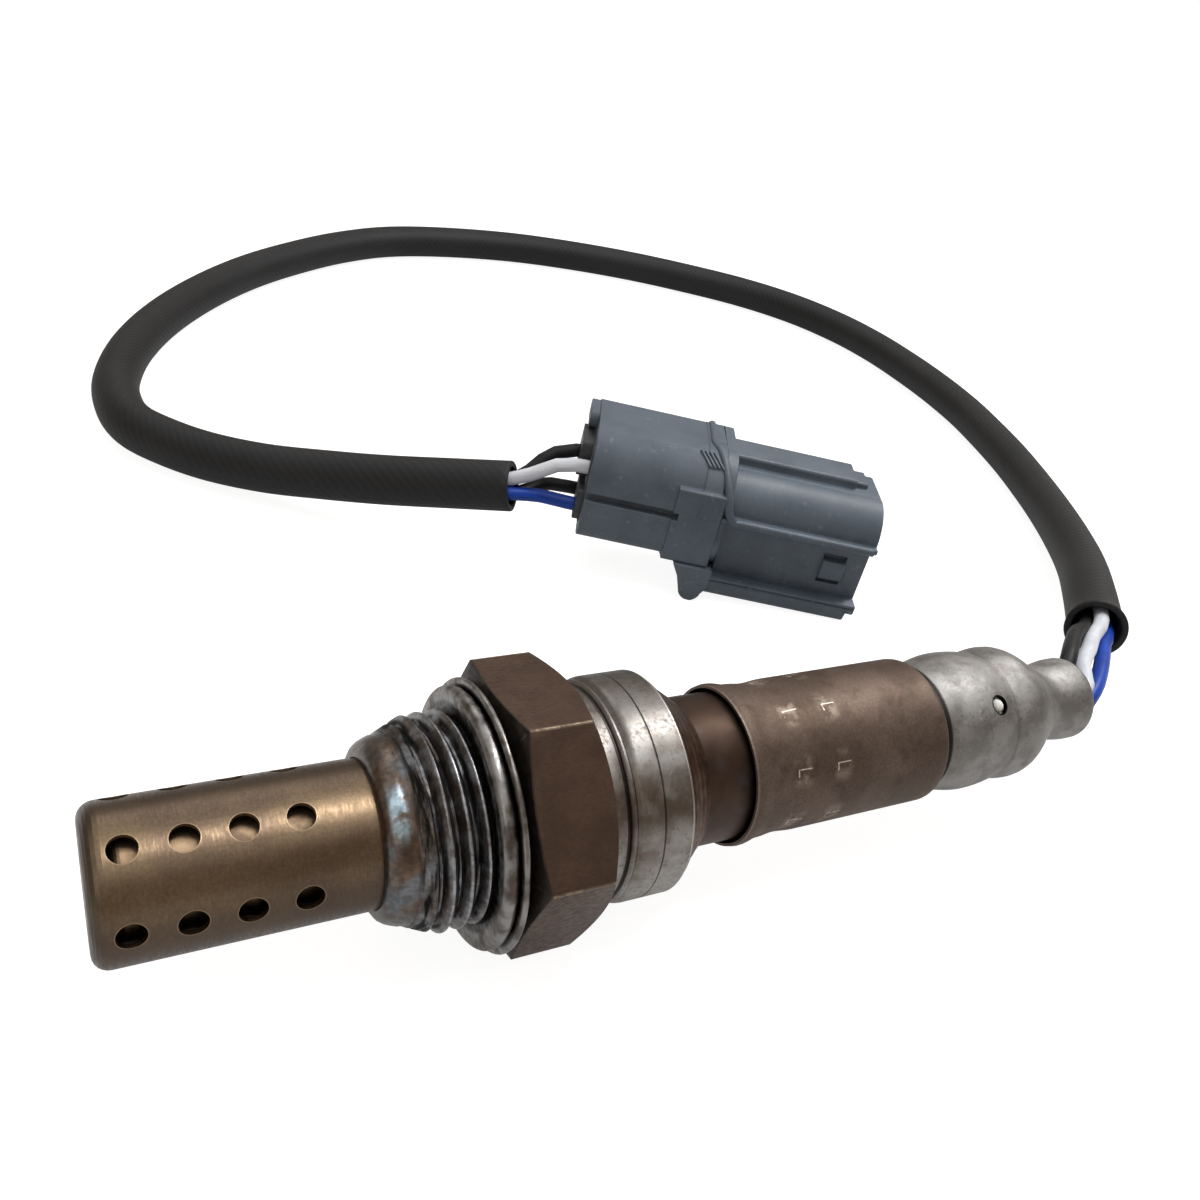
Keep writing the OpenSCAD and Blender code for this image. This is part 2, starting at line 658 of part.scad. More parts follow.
module plug_housing() {
    block_x = -7.2;
    block_end = -0.8;
    block_top = channel_top + 3.6;
    groove_h = 1.1;
    groove_z = channel_rise + 3;
    groove_len = rear_len - 3.2;
    rib_front = front_len - 3.5;
    nub_x = front_len - 2.8 - nub_len;
    nub_z = channel_rise - 0.4;
    window_h = 0.8;
    window_depth = 0.8;
    grips = 4;
    color("#56606a") in_plug_place() difference() {
        union() {
            along_plug(flange_x, front_len) front_section();
            along_plug(block_end, rail_front) rail_section();
            along_plug(rear_x, 0) rear_section();
            along_plug(rear_x - 1.2, rear_x + 1)
                soft_rect(2.4, rear_top - 2.6, half_d + 1.1, rear_top - 0.1, 1);
            along_plug(-4, -1.5) flange_section();
            along_plug(-4.3, -0.7) flange_section(0.35);
            along_plug(-4.3, 0) flange_section(0.9, rib_top);
            flange_foot();
            along_plug(block_x, block_end) soft_rect(-half_d - 0.1, channel_low + 1.2, 0, block_top, 0.4);
            along_plug(0, rib_front) soft_rect(0.6, roof_z - 2, half_d - 0.4, rib_top, 0.5);
            along_plug(0, rib_front + 1.8) soft_rect(1.4, roof_z - 2, half_d - 1.4, rib_top - 0.5, 0.4);
            translate([nub_x, channel_y - nub_rise, nub_z - nub_w / 2])
                cube([nub_len, nub_rise + 0.5, nub_w]);
            for (i = [0:grips - 1]) grip_bar(-2.7 - 0.58 * i);
        }
        along_plug(socket_x, front_len + 1) front_cavity();
        along_plug(rear_x - 1, chamber_x) soft_rect(chamber_low[0], chamber_low[1],
            chamber_high[0], chamber_high[1], 1);
        translate([rear_x - 1, -half_d - 1, groove_z]) cube([groove_len + 1, 2.6, groove_h]);
        for (z = [nub_z + nub_w / 2, nub_z - nub_w / 2 - window_h])
            translate([nub_x, channel_y - 1, z]) cube([nub_len, 1 + window_depth, window_h]);
        for (c = cell_rows) translate([chamber_x - 1, c[0], c[1]]) {
            rotate([0, 90, 0]) cylinder(h = 3, r = 1.9, $fn = 48);
            translate([0, -pin_t / 2 - fit, -pin_w / 2 - fit])
                cube([socket_x - chamber_x + 2, pin_t + 2 * fit, pin_w + 2 * fit]);
        }
    }
}

// Dark rear insert that locks the terminals and guides the wires
module plug_retainer() {
    color("#35383b") in_plug_place() difference() {
        union() {
            along_plug(rear_x - 0.2, rear_x + 5) soft_rect(chamber_low[0] + fit, chamber_low[1] + fit,
                chamber_high[0] - fit, chamber_high[1] - fit, 1 - fit);
            along_plug(rear_x - 1.6, rear_x + 1) soft_rect(-1.6, 1, 5, 6.1, 0.6);
            along_plug(rear_x - 1, rear_x + 1) soft_rect(-4.8, -3.9, 1.6, 0.6, 0.6);
        }
        for (c = cell_rows) translate([rear_x - 3, c[0], c[1]])
            rotate([0, 90, 0]) cylinder(h = 10, r = wire_r + 0.2, $fn = 48);
    }
}

module wire_seals() {
    x0 = rear_x + 5 + fit;
    len = chamber_x - fit - x0;
    color("#3f6f9c") in_plug_place() for (c = cell_rows) translate([x0, c[0], c[1]])
        rotate([0, 90, 0]) difference() {
            cylinder(h = len, r = 1.8, $fn = 48);
            translate([0, 0, -1]) cylinder(h = len + 2, r = wire_r + 0.03, $fn = 48);
        }
}

// Round body in the terminal wall with a flat blade that stands in the socket
module plug_terminals() {
    blade_x = chamber_x + 1;
    color("#c9b26a") in_plug_place() for (c = cell_rows) translate([0, c[0], c[1]]) {
        translate([chamber_x, 0, 0]) rotate([0, 90, 0]) cylinder(h = 1.9, r = 1.2, $fn = 48);
        translate([blade_x, -pin_t / 2, -pin_w / 2])
            cube([socket_x + pin_len - blade_x, pin_t, pin_w]);
    }
}

// Route of the sleeve's centre line, from the sensor round the loop to the plug
sleeve_route = [
    [89.8, 11.5, -1], [98.9, 20.3, -2.6], [108.3, 29.7, -4.6], [116.8, 39.8, -6.4],
    [124.4, 50.4, -7.8], [130.2, 60.6, -8.4], [134.6, 70.6, -8.4], [138.4, 81, -8.4],
    [141.8, 92, -8.4], [144.2, 104, -8.4], [145.5, 116, -8.4], [145.8, 128, -8.4],
    [144.2, 140, -8.4], [140, 152, -8.4], [132.6, 163, -8.4], [122.6, 172.4, -8.4],
    [110.4, 181.4, -8.4], [96.5, 188.6, -8.4], [82, 193.4, -8.4], [66, 195, -8.4],
    [52, 193.4, -8.4], [39.4, 187.6, -8.4], [27, 178.6, -8.4], [15, 167.6, -8.4],
    [4, 154.2, -8.4], [-5, 140, -8.4], [-11.4, 126, -8.4], [-15, 113, -8.4],
    [-15.6, 103.6, -8.4], [-14.4, 96.6, -8.4], [-11, 90.8, -8.3], [-6, 85, -8.1],
    [0.6, 79.4, -7.5], [7.6, 74.2, -6.3], [14.6, 69.1, -4.9], [22.2, 63.7, -3.1],
    [28.8, 59, -1.5]
];
sleeve_twist = -45;

function unit(v) = v / norm(v);
function heading(pts, i) = unit(pts[min(i + 1, len(pts) - 1)] - pts[max(i - 1, 0)]);
function side_of(t) = unit(cross(t, [0, 0, 1]));

// Closed tube round a route; with a bore it is hollow and open at both ends
module tube(pts, r, sides, bore = 0) {
    n = len(pts);
    loops = bore > 0 ? 2 : 1;
    radii = [r, bore];
    points = [for (l = [0:loops - 1], i = [0:n - 1]) let (t = heading(pts, i), s = side_of(t),
        u = cross(s, t)) for (k = [0:sides - 1]) let (a = 360 * k / sides)
        pts[i] + radii[l] * (cos(a) * s + sin(a) * u)];
    function at(l, i, k) = (l * n + i) * sides + (k % sides);
    walls = [for (l = [0:loops - 1], i = [0:n - 2], k = [0:sides - 1])
        let (q = [at(l, i, k), at(l, i, k + 1), at(l, i + 1, k + 1), at(l, i + 1, k)])
        l == 0 ? q : reversed(q)];
    ends = bore > 0
        ? [for (k = [0:sides - 1]) each [[at(0, 0, k), at(1, 0, k), at(1, 0, k + 1), at(0, 0, k + 1)],
            [at(0, n - 1, k + 1), at(1, n - 1, k + 1), at(1, n - 1, k), at(0, n - 1, k)]]]
        : [[for (k = [sides - 1:-1:0]) at(0, 0, k)], [for (k = [0:sides - 1]) at(0, n - 1, k)]];
    polyhedron(points = points, faces = [for (f = concat(walls, ends)) reversed(f)], convexity = 8);
}

// Place of one wire in the sleeve; the bundle twists slowly along the route
function in_sleeve(angle) = [for (i = [0:len(sleeve_route) - 1])
    let (t = heading(sleeve_route, i), s = side_of(t), u = cross(s, t),
        a = angle + sleeve_twist * i / (len(sleeve_route) - 1))
    sleeve_route[i] + wire_spread * (cos(a) * s + sin(a) * u)];

function slot_point(x, k, radius) = [x, radius * cos(slots[k]), radius * sin(slots[k])];

// One wire: crimp, holder slot, grommet hole, free bend, sleeve, free bend, plug cell
function wire_route(k, front, angle, rear, cell) = concat(
    [slot_point(crimp_end, k, slot_radius), slot_point(holder_end, k, slot_radius),
    slot_point(holder_end + 3, k, slot_radius - 0.1),
    slot_point(grommet_x - 3, k, grommet_hole_radius + 0.1),
    slot_point(grommet_x, k, grommet_hole_radius), slot_point(grommet_end + 0.3, k, grommet_hole_radius)],
    front, in_sleeve(angle), rear,
    [for (x = [rear_x - 3.4, rear_x - 2, chamber_x - 0.1])
        from_plug([x, cell_rows[cell][0], cell_rows[cell][1]])]);

module wire(k, front, angle, rear, cell) {
    tube(wire_route(k, front, angle, rear, cell), wire_r, 8);
}

module wire_black_a() {
    color("#1c1d20") wire(0, [[75.2, 2.4, 1.8], [79, 4.9, 1.6], [84, 8.4, 0.4]], 172,
        [[33.3, 60.4, 2.2]], 1);
}

module wire_white() {
    color("#e8eaee") wire(1, [[75.4, -0.8, 1.9], [79.2, 2, 2], [84.6, 6.8, 1.2]], 82,
        [[32.4, 57.2, 1.4]], 0);
}

module wire_blue() {
    color("#1746b0") wire(2, [[75.6, -1.4, -1], [80.2, 0.7, -0.2], [86, 6, -1]], -8,
        [[32.2, 57.3, -2.9]], 2);
}

module wire_black_b() {
    color("#1c1d20") wire(3, [[75.4, 1.9, -1.5], [79.8, 4.4, -2], [84.6, 8, -2.4]], -98,
        [[33.7, 60.6, -2.7]], 3);
}

module harness_sleeve() {
    color("#2e2f31") tube(sleeve_route, sleeve_d / 2, 12, sleeve_bore_d / 2);
}

outer_protector();
inner_protector();
sensing_thimble();
heater_rod();
threaded_shell();
seal_gasket();
seat_washer();
talc_packing();
alumina_sleeve();
crimp_washer();
weld_collar();
inner_cover();
outer_cover();
end_cap();
vent_filter();
grommet();
contact_holder();
holder_spring();
signal_contact();
ground_contact();
heater_contacts();
wire_crimps();
wire_black_a();
wire_white();
wire_blue();
wire_black_b();
harness_sleeve();
plug_housing();
plug_retainer();
wire_seals();
plug_terminals();
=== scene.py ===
# %% [markdown]
# # A heated oxygen sensor, dressed for its portrait
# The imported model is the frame: its solids have the true sizes, in metres, in one
# shared frame. X runs along the sensor from its tip to its wires, Z is up, and the
# seat of the gasket is at the origin. This lesson dresses that frame: each visible
# piece gets a finer mesh where the real one has finer form, and a material of its own.

import json
import math

import bmesh
import bpy
from mathutils import Matrix, Vector

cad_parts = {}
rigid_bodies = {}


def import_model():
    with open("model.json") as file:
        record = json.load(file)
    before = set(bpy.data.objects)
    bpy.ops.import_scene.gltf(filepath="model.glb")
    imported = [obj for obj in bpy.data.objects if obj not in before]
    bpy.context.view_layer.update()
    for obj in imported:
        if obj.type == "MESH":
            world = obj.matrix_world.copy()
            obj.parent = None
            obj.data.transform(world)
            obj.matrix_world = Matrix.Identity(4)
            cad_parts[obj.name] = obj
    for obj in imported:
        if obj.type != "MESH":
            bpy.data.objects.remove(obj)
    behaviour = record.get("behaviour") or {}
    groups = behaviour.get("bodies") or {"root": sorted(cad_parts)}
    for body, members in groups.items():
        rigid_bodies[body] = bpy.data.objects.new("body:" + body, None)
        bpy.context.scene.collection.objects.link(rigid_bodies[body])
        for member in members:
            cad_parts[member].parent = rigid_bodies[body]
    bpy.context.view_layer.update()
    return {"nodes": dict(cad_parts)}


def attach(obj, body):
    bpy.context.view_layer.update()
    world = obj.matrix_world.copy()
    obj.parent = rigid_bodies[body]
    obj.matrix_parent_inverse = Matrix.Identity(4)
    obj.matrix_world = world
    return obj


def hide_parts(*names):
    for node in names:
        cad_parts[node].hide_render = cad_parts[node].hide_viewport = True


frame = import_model()
print("CAD nodes:", len(frame["nodes"]))

# %% [markdown]
# ## Camera
# A photographer stood in front of the tip, to its right and a little above it, close
# enough for strong perspective. The camera's place and turn were solved from the
# edges of the turned parts, whose diameters are known, so they are given as numbers.
# The picture is square, so a 36 mm wide sensor and the focal length fix the view.

# %% The photographer's camera
MM = 0.001
CAMERA_AT = Vector((-29.21, -64.04, 65.60)) * MM
LOOK = Vector((0.4447, 0.7307, -0.5180)).normalized()
UP = Vector((0.0994, 0.5345, 0.8393)).normalized()
scene = bpy.context.scene
lens = bpy.data.cameras.new("photo_camera")
lens.sensor_width = 36.0
lens.lens = 33.76
lens.clip_start = 0.005
lens.clip_end = 20.0
camera = bpy.data.objects.new("photo_camera", lens)
scene.collection.objects.link(camera)
right = LOOK.cross(UP).normalized()
turn = Matrix((right, right.cross(LOOK), -LOOK)).transposed().to_4x4()
camera.matrix_world = Matrix.Translation(CAMERA_AT) @ turn
scene.camera = camera
print("camera looks", round(math.degrees(math.asin(-LOOK.z)), 1), "degrees down")

# %% [markdown]
# ## Small tools for the whole lesson
# Modelling by operator means: nothing selected, one object active, edit mode on. A few
# helpers keep that honest. Edges are rounded and shapes are cut with modifiers that are
# applied at once, so that what is seen is what is kept.

# %% Selecting, applying and settling
def start_clean():
    """Leaves nothing selected, so that an operator acts on the next piece alone."""
    if bpy.context.object and bpy.context.object.mode != "OBJECT":
        bpy.ops.object.mode_set(mode="OBJECT")
    bpy.ops.object.select_all(action="DESELECT")


def activate(obj):
    """Makes one object the only selected and active one."""
    start_clean()
    obj.select_set(True)
    bpy.context.view_layer.objects.active = obj


def apply_all(obj):
    """Applies the object's modifiers in their order."""
    activate(obj)
    for modifier in list(obj.modifiers):
        bpy.ops.object.modifier_apply(modifier=modifier.name)


def settle(obj, angle=35):
    """Puts the place into the mesh, points the faces out and smooths the soft edges."""
    activate(obj)
    bpy.ops.object.transform_apply(location=True, rotation=True, scale=True)
    bpy.ops.object.mode_set(mode="EDIT")
    bpy.ops.mesh.select_all(action="SELECT")
    bpy.ops.mesh.remove_doubles(threshold=0.001 * MM)
    bpy.ops.mesh.normals_make_consistent(inside=False)
    bpy.ops.object.mode_set(mode="OBJECT")
    bpy.ops.object.shade_smooth_by_angle(angle=math.radians(angle))
    return obj


def soften(obj, width_mm, segments, angle, clamp=True):
    """Rounds the edges that turn by more than an angle in degrees."""
    bevel = obj.modifiers.new("soft_edges", "BEVEL")
    bevel.width = width_mm * MM
    bevel.segments = segments
    bevel.limit_method = "ANGLE"
    bevel.angle_limit = math.radians(angle)
    bevel.use_clamp_overlap = clamp
    apply_all(obj)


def cut_with(obj, tool, operation):
    """Keeps what a tool shape covers, or takes it away, and throws the tool out."""
    cut = obj.modifiers.new("cut", "BOOLEAN")
    cut.operation = operation
    cut.object = tool
    apply_all(obj)
    bpy.data.objects.remove(tool)


print("modelling helpers ready")

# %% [markdown]
# ## Colours and nodes
# Colours are written as sRGB hex, as a painter would pick them, and one function turns
# them into the linear values that shaders want. Every material is a small machine of
# nodes. One function adds a node and feeds it, whatever its kind, so that a finish reads
# as a list of what feeds what. A node or socket knows its own tree: it is its id_data.

# %% One way to write a colour, one way to add a node
def linear(hex_colour):
    """sRGB hex to the linear colour that a shader socket takes."""
    parts = [int(hex_colour[i : i + 2], 16) / 255 for i in (0, 2, 4)]
    return [p / 12.92 if p <= 0.04045 else ((p + 0.055) / 1.055) ** 2.4 for p in parts] + [1]


def feed(made, inputs):
    """Feeds inputs with a socket, another node's first output, a hex colour or a value."""
    for key, value in inputs.items():
        if isinstance(value, bpy.types.Node):
            value = value.outputs[0]
        if isinstance(value, bpy.types.NodeSocket):
            made.id_data.links.new(value, made.inputs[key])
        else:
            made.inputs[key].default_value = linear(value) if isinstance(value, str) else value
    return made


def node(tree, kind, inputs=None, **settings):
    """Adds one node with its settings and feeds its inputs."""
    made = tree.nodes.new(kind)
    for key, value in settings.items():
        setattr(made, key, value)
    return feed(made, inputs or {})


def empty_tree(owner):
    """The node tree of a material or world, with nothing in it."""
    owner.use_nodes = True
    owner.node_tree.nodes.clear()
    return owner.node_tree


print("white is", linear("ffffff"))

# %% [markdown]
# ## The studio
# The object lies on a plain pale sweep in a white room. Light Path tells the floor and the
# room who looks at them: the camera sees them white, mirrors see them bright, and the light
# that falls on the object stays at a plain level. So the background is white without more
# light on the object, and the floor still takes its soft contact shadow.

# %% Floor and room
FLOOR_Z = -11.9 * MM
FLOOR_MIDDLE = (0.05, 0.08)
FLOOR_SEEN, FLOOR_MIRRORED = 0.9, 0.4
ROOM_LIGHT, ROOM_MORE_SEEN = 0.55, 0.45


def who_looks(tree):
    """Whether the camera looks, and whether a mirror or glass does."""
    rays = node(tree, "ShaderNodeLightPath").outputs
    mirror = node(tree, "ShaderNodeMath",
                  {0: rays["Is Glossy Ray"], 1: rays["Is Transmission Ray"]}, operation="MAXIMUM")
    return rays["Is Camera Ray"], mirror


start_clean()
bpy.ops.mesh.primitive_plane_add(size=6.0, location=(*FLOOR_MIDDLE, FLOOR_Z))
floor = bpy.context.object
floor.name = "studio_floor"
paper = bpy.data.materials.new("white_paper_sweep")
tree = empty_tree(paper)
by_camera, by_mirror = who_looks(tree)
seen = node(tree, "ShaderNodeMath", {0: by_camera, 1: FLOOR_SEEN}, operation="MULTIPLY")
level = node(tree, "ShaderNodeMath", {0: by_mirror, 1: FLOOR_MIRRORED, 2: seen},
             operation="MULTIPLY_ADD")
matt = node(tree, "ShaderNodeBsdfDiffuse", {"Color": "a8a8a8"})
glow = node(tree, "ShaderNodeEmission", {"Color": "ffffff", "Strength": level})
both = node(tree, "ShaderNodeAddShader", {0: matt, 1: glow})
node(tree, "ShaderNodeOutputMaterial", {"Surface": both})
floor.data.materials.append(paper)
world = bpy.data.worlds.new("studio_world")
scene.world = world
tree = empty_tree(world)
by_camera, by_mirror = who_looks(tree)
seen = node(tree, "ShaderNodeMath", {0: by_mirror, 1: by_camera}, operation="MAXIMUM")
level = node(tree, "ShaderNodeMath", {0: seen, 1: ROOM_MORE_SEEN, 2: ROOM_LIGHT},
             operation="MULTIPLY_ADD")
sky = node(tree, "ShaderNodeBackground", {"Color": "ffffff", "Strength": level})
node(tree, "ShaderNodeOutputWorld", {"Surface": sky})
print("room and floor ready")

# %% [markdown]
# ## Cloth and lamps
# A white room alone makes metal look like chalk, because every direction that it mirrors
# is the same. A photographer hangs cloth round the table for that. This ring of pale
# brown felt stands outside the picture, is open at the top, and gives the metal warm and
# slightly darker middle tones. A narrow strip lamp, high up along the sensor, draws the
# long highlight on the turned parts, and two weak soft lamps lift the sides.

# %% A ring of cloth and three lamps
CLOTH_R = CLOTH_HIGH = 800.0
start_clean()
bpy.ops.mesh.primitive_cylinder_add(vertices=96, radius=CLOTH_R * MM, depth=CLOTH_HIGH * MM,
                                    end_fill_type="NOTHING",
                                    location=(*FLOOR_MIDDLE, FLOOR_Z + CLOTH_HIGH / 2 * MM))
cloth = bpy.context.object
cloth.name = "dark_cloth_ring"
cloth.visible_camera = False
felt = bpy.data.materials.new("brown_felt")
tree = empty_tree(felt)
node(tree, "ShaderNodeOutputMaterial",
     {"Surface": node(tree, "ShaderNodeBsdfDiffuse", {"Color": "e2d8cc"})})
cloth.data.materials.append(felt)


def softbox(name, at, aim, along, size, watts):
    """A lamp at a point in millimetres that faces another; its long side lies along a way."""
    data = bpy.data.lights.new(name, "AREA")
    data.shape = "RECTANGLE"
    data.size, data.size_y = size[0] * MM, size[1] * MM
    data.energy = watts
    lamp = bpy.data.objects.new(name, data)
    scene.collection.objects.link(lamp)
    back = (Vector(at) - Vector(aim)).normalized()
    side = (Vector(along) - back * back.dot(Vector(along))).normalized()
    lamp.matrix_world = (Matrix.Translation(Vector(at) * MM)
                         @ Matrix((side, back.cross(side), back)).transposed().to_4x4())


softbox("key_strip", at=(240, 45, 430), aim=(40, 20, 0), along=(0.9, 0.44, 0),
        size=(620, 80), watts=2.15)
softbox("fill_left", at=(-300, -220, 260), aim=(20, 10, 0), along=(0.6, -0.8, 0),
        size=(260, 260), watts=0.18)
softbox("back_soft", at=(60, 520, 420), aim=(50, 80, 0), along=(1, 0, 0),
        size=(360, 200), watts=0.35)
scene.view_settings.view_transform = "Standard"
print("studio ready")

# %% [markdown]
# ## Turned pieces
# Covers, collar, gasket and cap are all turned, rolled or spun: every cross-section is a
# circle. They could be revolved from a curve, but here one ring is extruded station by
# station and resized, as one would draw a vase by hand, so each step stays readable.

# %% A lathe made of extrusions
def lathe(name, outline, sides=128):
    """A closed band through (x, r) stations in millimetres; the last one joins the first."""
    start_clean()
    (x, r), rest = outline[0], outline[1:] + outline[:1]
    bpy.ops.mesh.primitive_circle_add(vertices=sides, radius=r * MM, location=(x * MM, 0, 0),
                                      rotation=(0, math.pi / 2, 0))
    obj = bpy.context.object
    obj.name = name
    bpy.ops.object.mode_set(mode="EDIT")
    bpy.ops.mesh.select_all(action="SELECT")
    for next_x, next_r in rest:
        bpy.ops.mesh.extrude_region_move(
            TRANSFORM_OT_translate={"value": ((next_x - x) * MM, 0, 0)})
        k = next_r / r
        bpy.ops.transform.resize(value=(1, k, k), center_override=(next_x * MM, 0, 0))
        x, r = next_x, next_r
    bpy.ops.object.mode_set(mode="OBJECT")
    return settle(obj)


def wave(stations, steps=10):
    """Stations joined by smooth swells: level at each station, like pressed sheet."""
    line = []
    for (xa, ra), (xb, rb) in zip(stations, stations[1:]):
        line += [(xa + (xb - xa) * i / steps,
                  ra + (rb - ra) * (1 - math.cos(math.pi * i / steps)) / 2) for i in range(steps)]
    return line + [stations[-1]]


def shell_of(line, wall):
    """A sheet of one thickness: the line outside, and back along the inside."""
    return line + [(x, r - wall) for x, r in reversed(line)]


def arc(x, r, radius, start, stop, steps=8):
    """Points of an arc about (x, r), angles in degrees from +X."""
    turns = [math.radians(start + (stop - start) * i / steps) for i in range(steps + 1)]
    return [(x + radius * math.cos(a), r + radius * math.sin(a)) for a in turns]


print("lathe ready")

# %% [markdown]
# ## Starting a finish
# Every finish is one physically based shader with patterns fed into it. Patterns read
# Object coordinates, which are metres here, so a grain of 0.2 mm is a scale of 5000. On
# the turned pieces it helps to know how far along and out a point is, in millimetres, and
# how far round, in degrees up from the camera's side. A finish is built as a painter works:
# a base of two near tones, and then thin coats, each laid on only where its masks say so.

# %% Finish helpers
def new_finish(name, **shader):
    """A material with one shader; its plain values are set on the shader's own sockets."""
    finish = bpy.data.materials.new(name)
    tree = empty_tree(finish)
    skin = node(tree, "ShaderNodeBsdfPrincipled",
                {key.replace("_", " "): value for key, value in shader.items()})
    node(tree, "ShaderNodeOutputMaterial", {"Surface": skin})
    return finish, skin


def place(skin):
    """The Object coordinates of each point."""
    return node(skin.id_data, "ShaderNodeTexCoord").outputs["Object"]


def lathe_finish(name, metallic, roughness):
    """A finish for a turned piece, its shader, and each point's place, its mm along the axis
    and out from it, and its degrees round it."""
    finish, skin = new_finish(name, Metallic=metallic, Roughness=roughness)
    tree, spot = skin.id_data, place(skin)
    axes = node(tree, "ShaderNodeSeparateXYZ", {0: spot}).outputs
    turned = node(tree, "ShaderNodeMath", {0: axes["Z"], 1: all_of(axes["Y"], -1.0)},
                  operation="ARCTAN2")
    across = node(tree, "ShaderNodeCombineXYZ", {"Y": axes["Y"], "Z": axes["Z"]})
    out = node(tree, "ShaderNodeVectorMath", {0: across}, operation="LENGTH").outputs["Value"]
    return (finish, skin, spot, all_of(axes["X"], 1 / MM), all_of(out, 1 / MM),
            all_of(turned, math.degrees(1)))


def grain(spot, size_mm, detail=4.0, squeeze=None):
    """Noise of a grain size; a squeeze below 1 along an axis draws it out into streaks."""
    tree = spot.id_data
    if squeeze:
        spot = node(tree, "ShaderNodeMapping", {"Vector": spot, "Scale": squeeze})
    return node(tree, "ShaderNodeTexNoise",
                {"Vector": spot, "Scale": 1 / (size_mm * MM), "Detail": detail}).outputs["Fac"]


def band(value, low, high, to_low=0.0, to_high=1.0):
    """Turns a value between two limits softly into another range; low may be the larger."""
    return node(value.id_data, "ShaderNodeMapRange",
                {"Value": value, "From Min": low, "From Max": high,
                 "To Min": to_low, "To Max": to_high}, interpolation_type="SMOOTHSTEP")


def blotches(spot, size_mm, detail=4.0, low=0.35, high=0.65):
    """Soft-edged blotches between 0 and 1."""
    return band(grain(spot, size_mm, detail), low, high)


def all_of(first, *others):
    """Where all hold: the product of a mask and of more masks or plain numbers."""
    for other in others:
        first = node(first.id_data, "ShaderNodeMath", {0: first, 1: other}, operation="MULTIPLY")
    return first


def within(value, low, high, soft):
    """1 between two limits, 0 outside them, with soft edges."""
    return all_of(band(value, low - soft, low + soft), band(value, high + soft, high - soft))


def coat(under, over, *where):
    """Lays a colour over another, where all the masks hold and as much as the numbers say."""
    return node(where[0].id_data, "ShaderNodeMixRGB", {0: all_of(*where), 1: under, 2: over})


def lay_on(skin, colour, roughness=None, relief=None, depth_mm=0.01, strength=0.3):
    """Gives the shader its colour, its roughness and a relief of a depth in millimetres."""
    feed(skin, {"Base Color": colour})
    if roughness is not None:
        feed(skin, {"Roughness": roughness})
    if relief is not None:
        feed(skin, {"Normal": node(skin.id_data, "ShaderNodeBump", {
            "Height": relief, "Strength": strength, "Distance": depth_mm * MM})})


def wear(piece, finish, slot):
    """Dresses a piece in a finish and lets it ride on the body; the slot is not used."""
    piece.data.materials.clear()
    piece.data.materials.append(finish)
    if piece.name not in frame["nodes"]:
        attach(piece, "root")


print("finish helpers ready")

# %% [markdown]
# ## Patterns that repeat round a piece
# Holes, corners and crimps come at even steps. The nearest one is found by arithmetic:
# the value is measured from half a step before the first, wrapped at each step, and
# centred. One degree on a radius is math.radians(radius) long, which turns an angle into
# a way over the surface.

# %% The nearest of many
def from_nearest(value, first, every):
    """How far a value lies from the nearest of evenly spaced places."""
    tree = value.id_data
    start = node(tree, "ShaderNodeMath", {0: value, 1: first - every / 2}, operation="SUBTRACT")
    part = node(tree, "ShaderNodeMath", {0: start, 1: every}, operation="FLOORED_MODULO")
    return node(tree, "ShaderNodeMath", {0: part, 1: every / 2}, operation="SUBTRACT")


def over_surface(along, angle, radius_mm):
    """Distance over a turned surface, from a way along it and an angle round it."""
    tree = along.id_data
    flat = node(tree, "ShaderNodeCombineXYZ", {0: along, 1: all_of(angle, math.radians(radius_mm))})
    return node(tree, "ShaderNodeVectorMath", {0: flat}, operation="LENGTH").outputs["Value"]


print("repeat helpers ready")

# %% [markdown]
# ## Protector
# The tip is a deep-drawn cup of stainless sheet with 24 punched holes in six rows.
# Exhaust heat has tinted it bronze. The solid already has the holes, so it stays, and the
# finish gives the fine grain of tumbled sheet and a dull grey tip corner. Painted shade
# darkens and greys the underside and the top, and a painted highlight draws a bright rim
# round each hole. The real grain is finer than a pixel, so it is drawn at 0.2 mm.

# %% Heat-tinted drawn stainless
GAS_HOLE_R, GAS_HOLE_X, GAS_HOLE_PITCH = 1.075, -25.75, 4.1
GAS_ROW_AT, SIXTH, PROTECTOR_R = 5.6, 60, 6.12
bronze, skin, spot, along, out, angle = lathe_finish("heat_tinted_drawn_stainless", 1.0, 0.4)
hue = coat("6d5c4c", "7e6b55", blotches(spot, 5.0))
hue = coat(hue, "2e2520", band(grain(spot, 0.22, 3.0), 0.72, 0.3), 0.25)
streak = grain(spot, 0.16, 4.0, (1.0, 0.16, 0.16))
hue = coat(hue, "9c8264", band(streak, 0.5, 0.72, 0.0, 0.22))
hue = coat(hue, "4b4540", band(along, -27.0, -28.1), 0.7)
# painted shade: the underside and the top of the cup are darker and greyer
hue = coat(hue, "4b3f38", band(angle, 32, 2), 0.7)
hue = coat(hue, "544a43", band(angle, 74, 98), 0.6)
from_hole = over_surface(from_nearest(along, GAS_HOLE_X, GAS_HOLE_PITCH),
                         from_nearest(angle, GAS_ROW_AT, SIXTH), PROTECTOR_R)
# painted highlight: a thin bright rim round each hole
hue = coat(hue, "b89e80", band(from_hole, GAS_HOLE_R + 0.1, GAS_HOLE_R + 0.03),
           band(along, -11.3, -11.5), 0.32)
lay_on(skin, hue, band(streak, 0.3, 0.7, 0.42, 0.3), streak, 0.012, 0.4)
wear(frame["nodes"]["outer_protector"], bronze, "protector_steel")
sooty, skin = new_finish("sooty_inner_stainless", Metallic=1.0, Roughness=0.42)
lay_on(skin, coat("5c4d3f", "8a745c", blotches(place(skin), 1.5)))
wear(frame["nodes"]["inner_protector"], sooty, "inner_protector_steel")
print("protector finished")

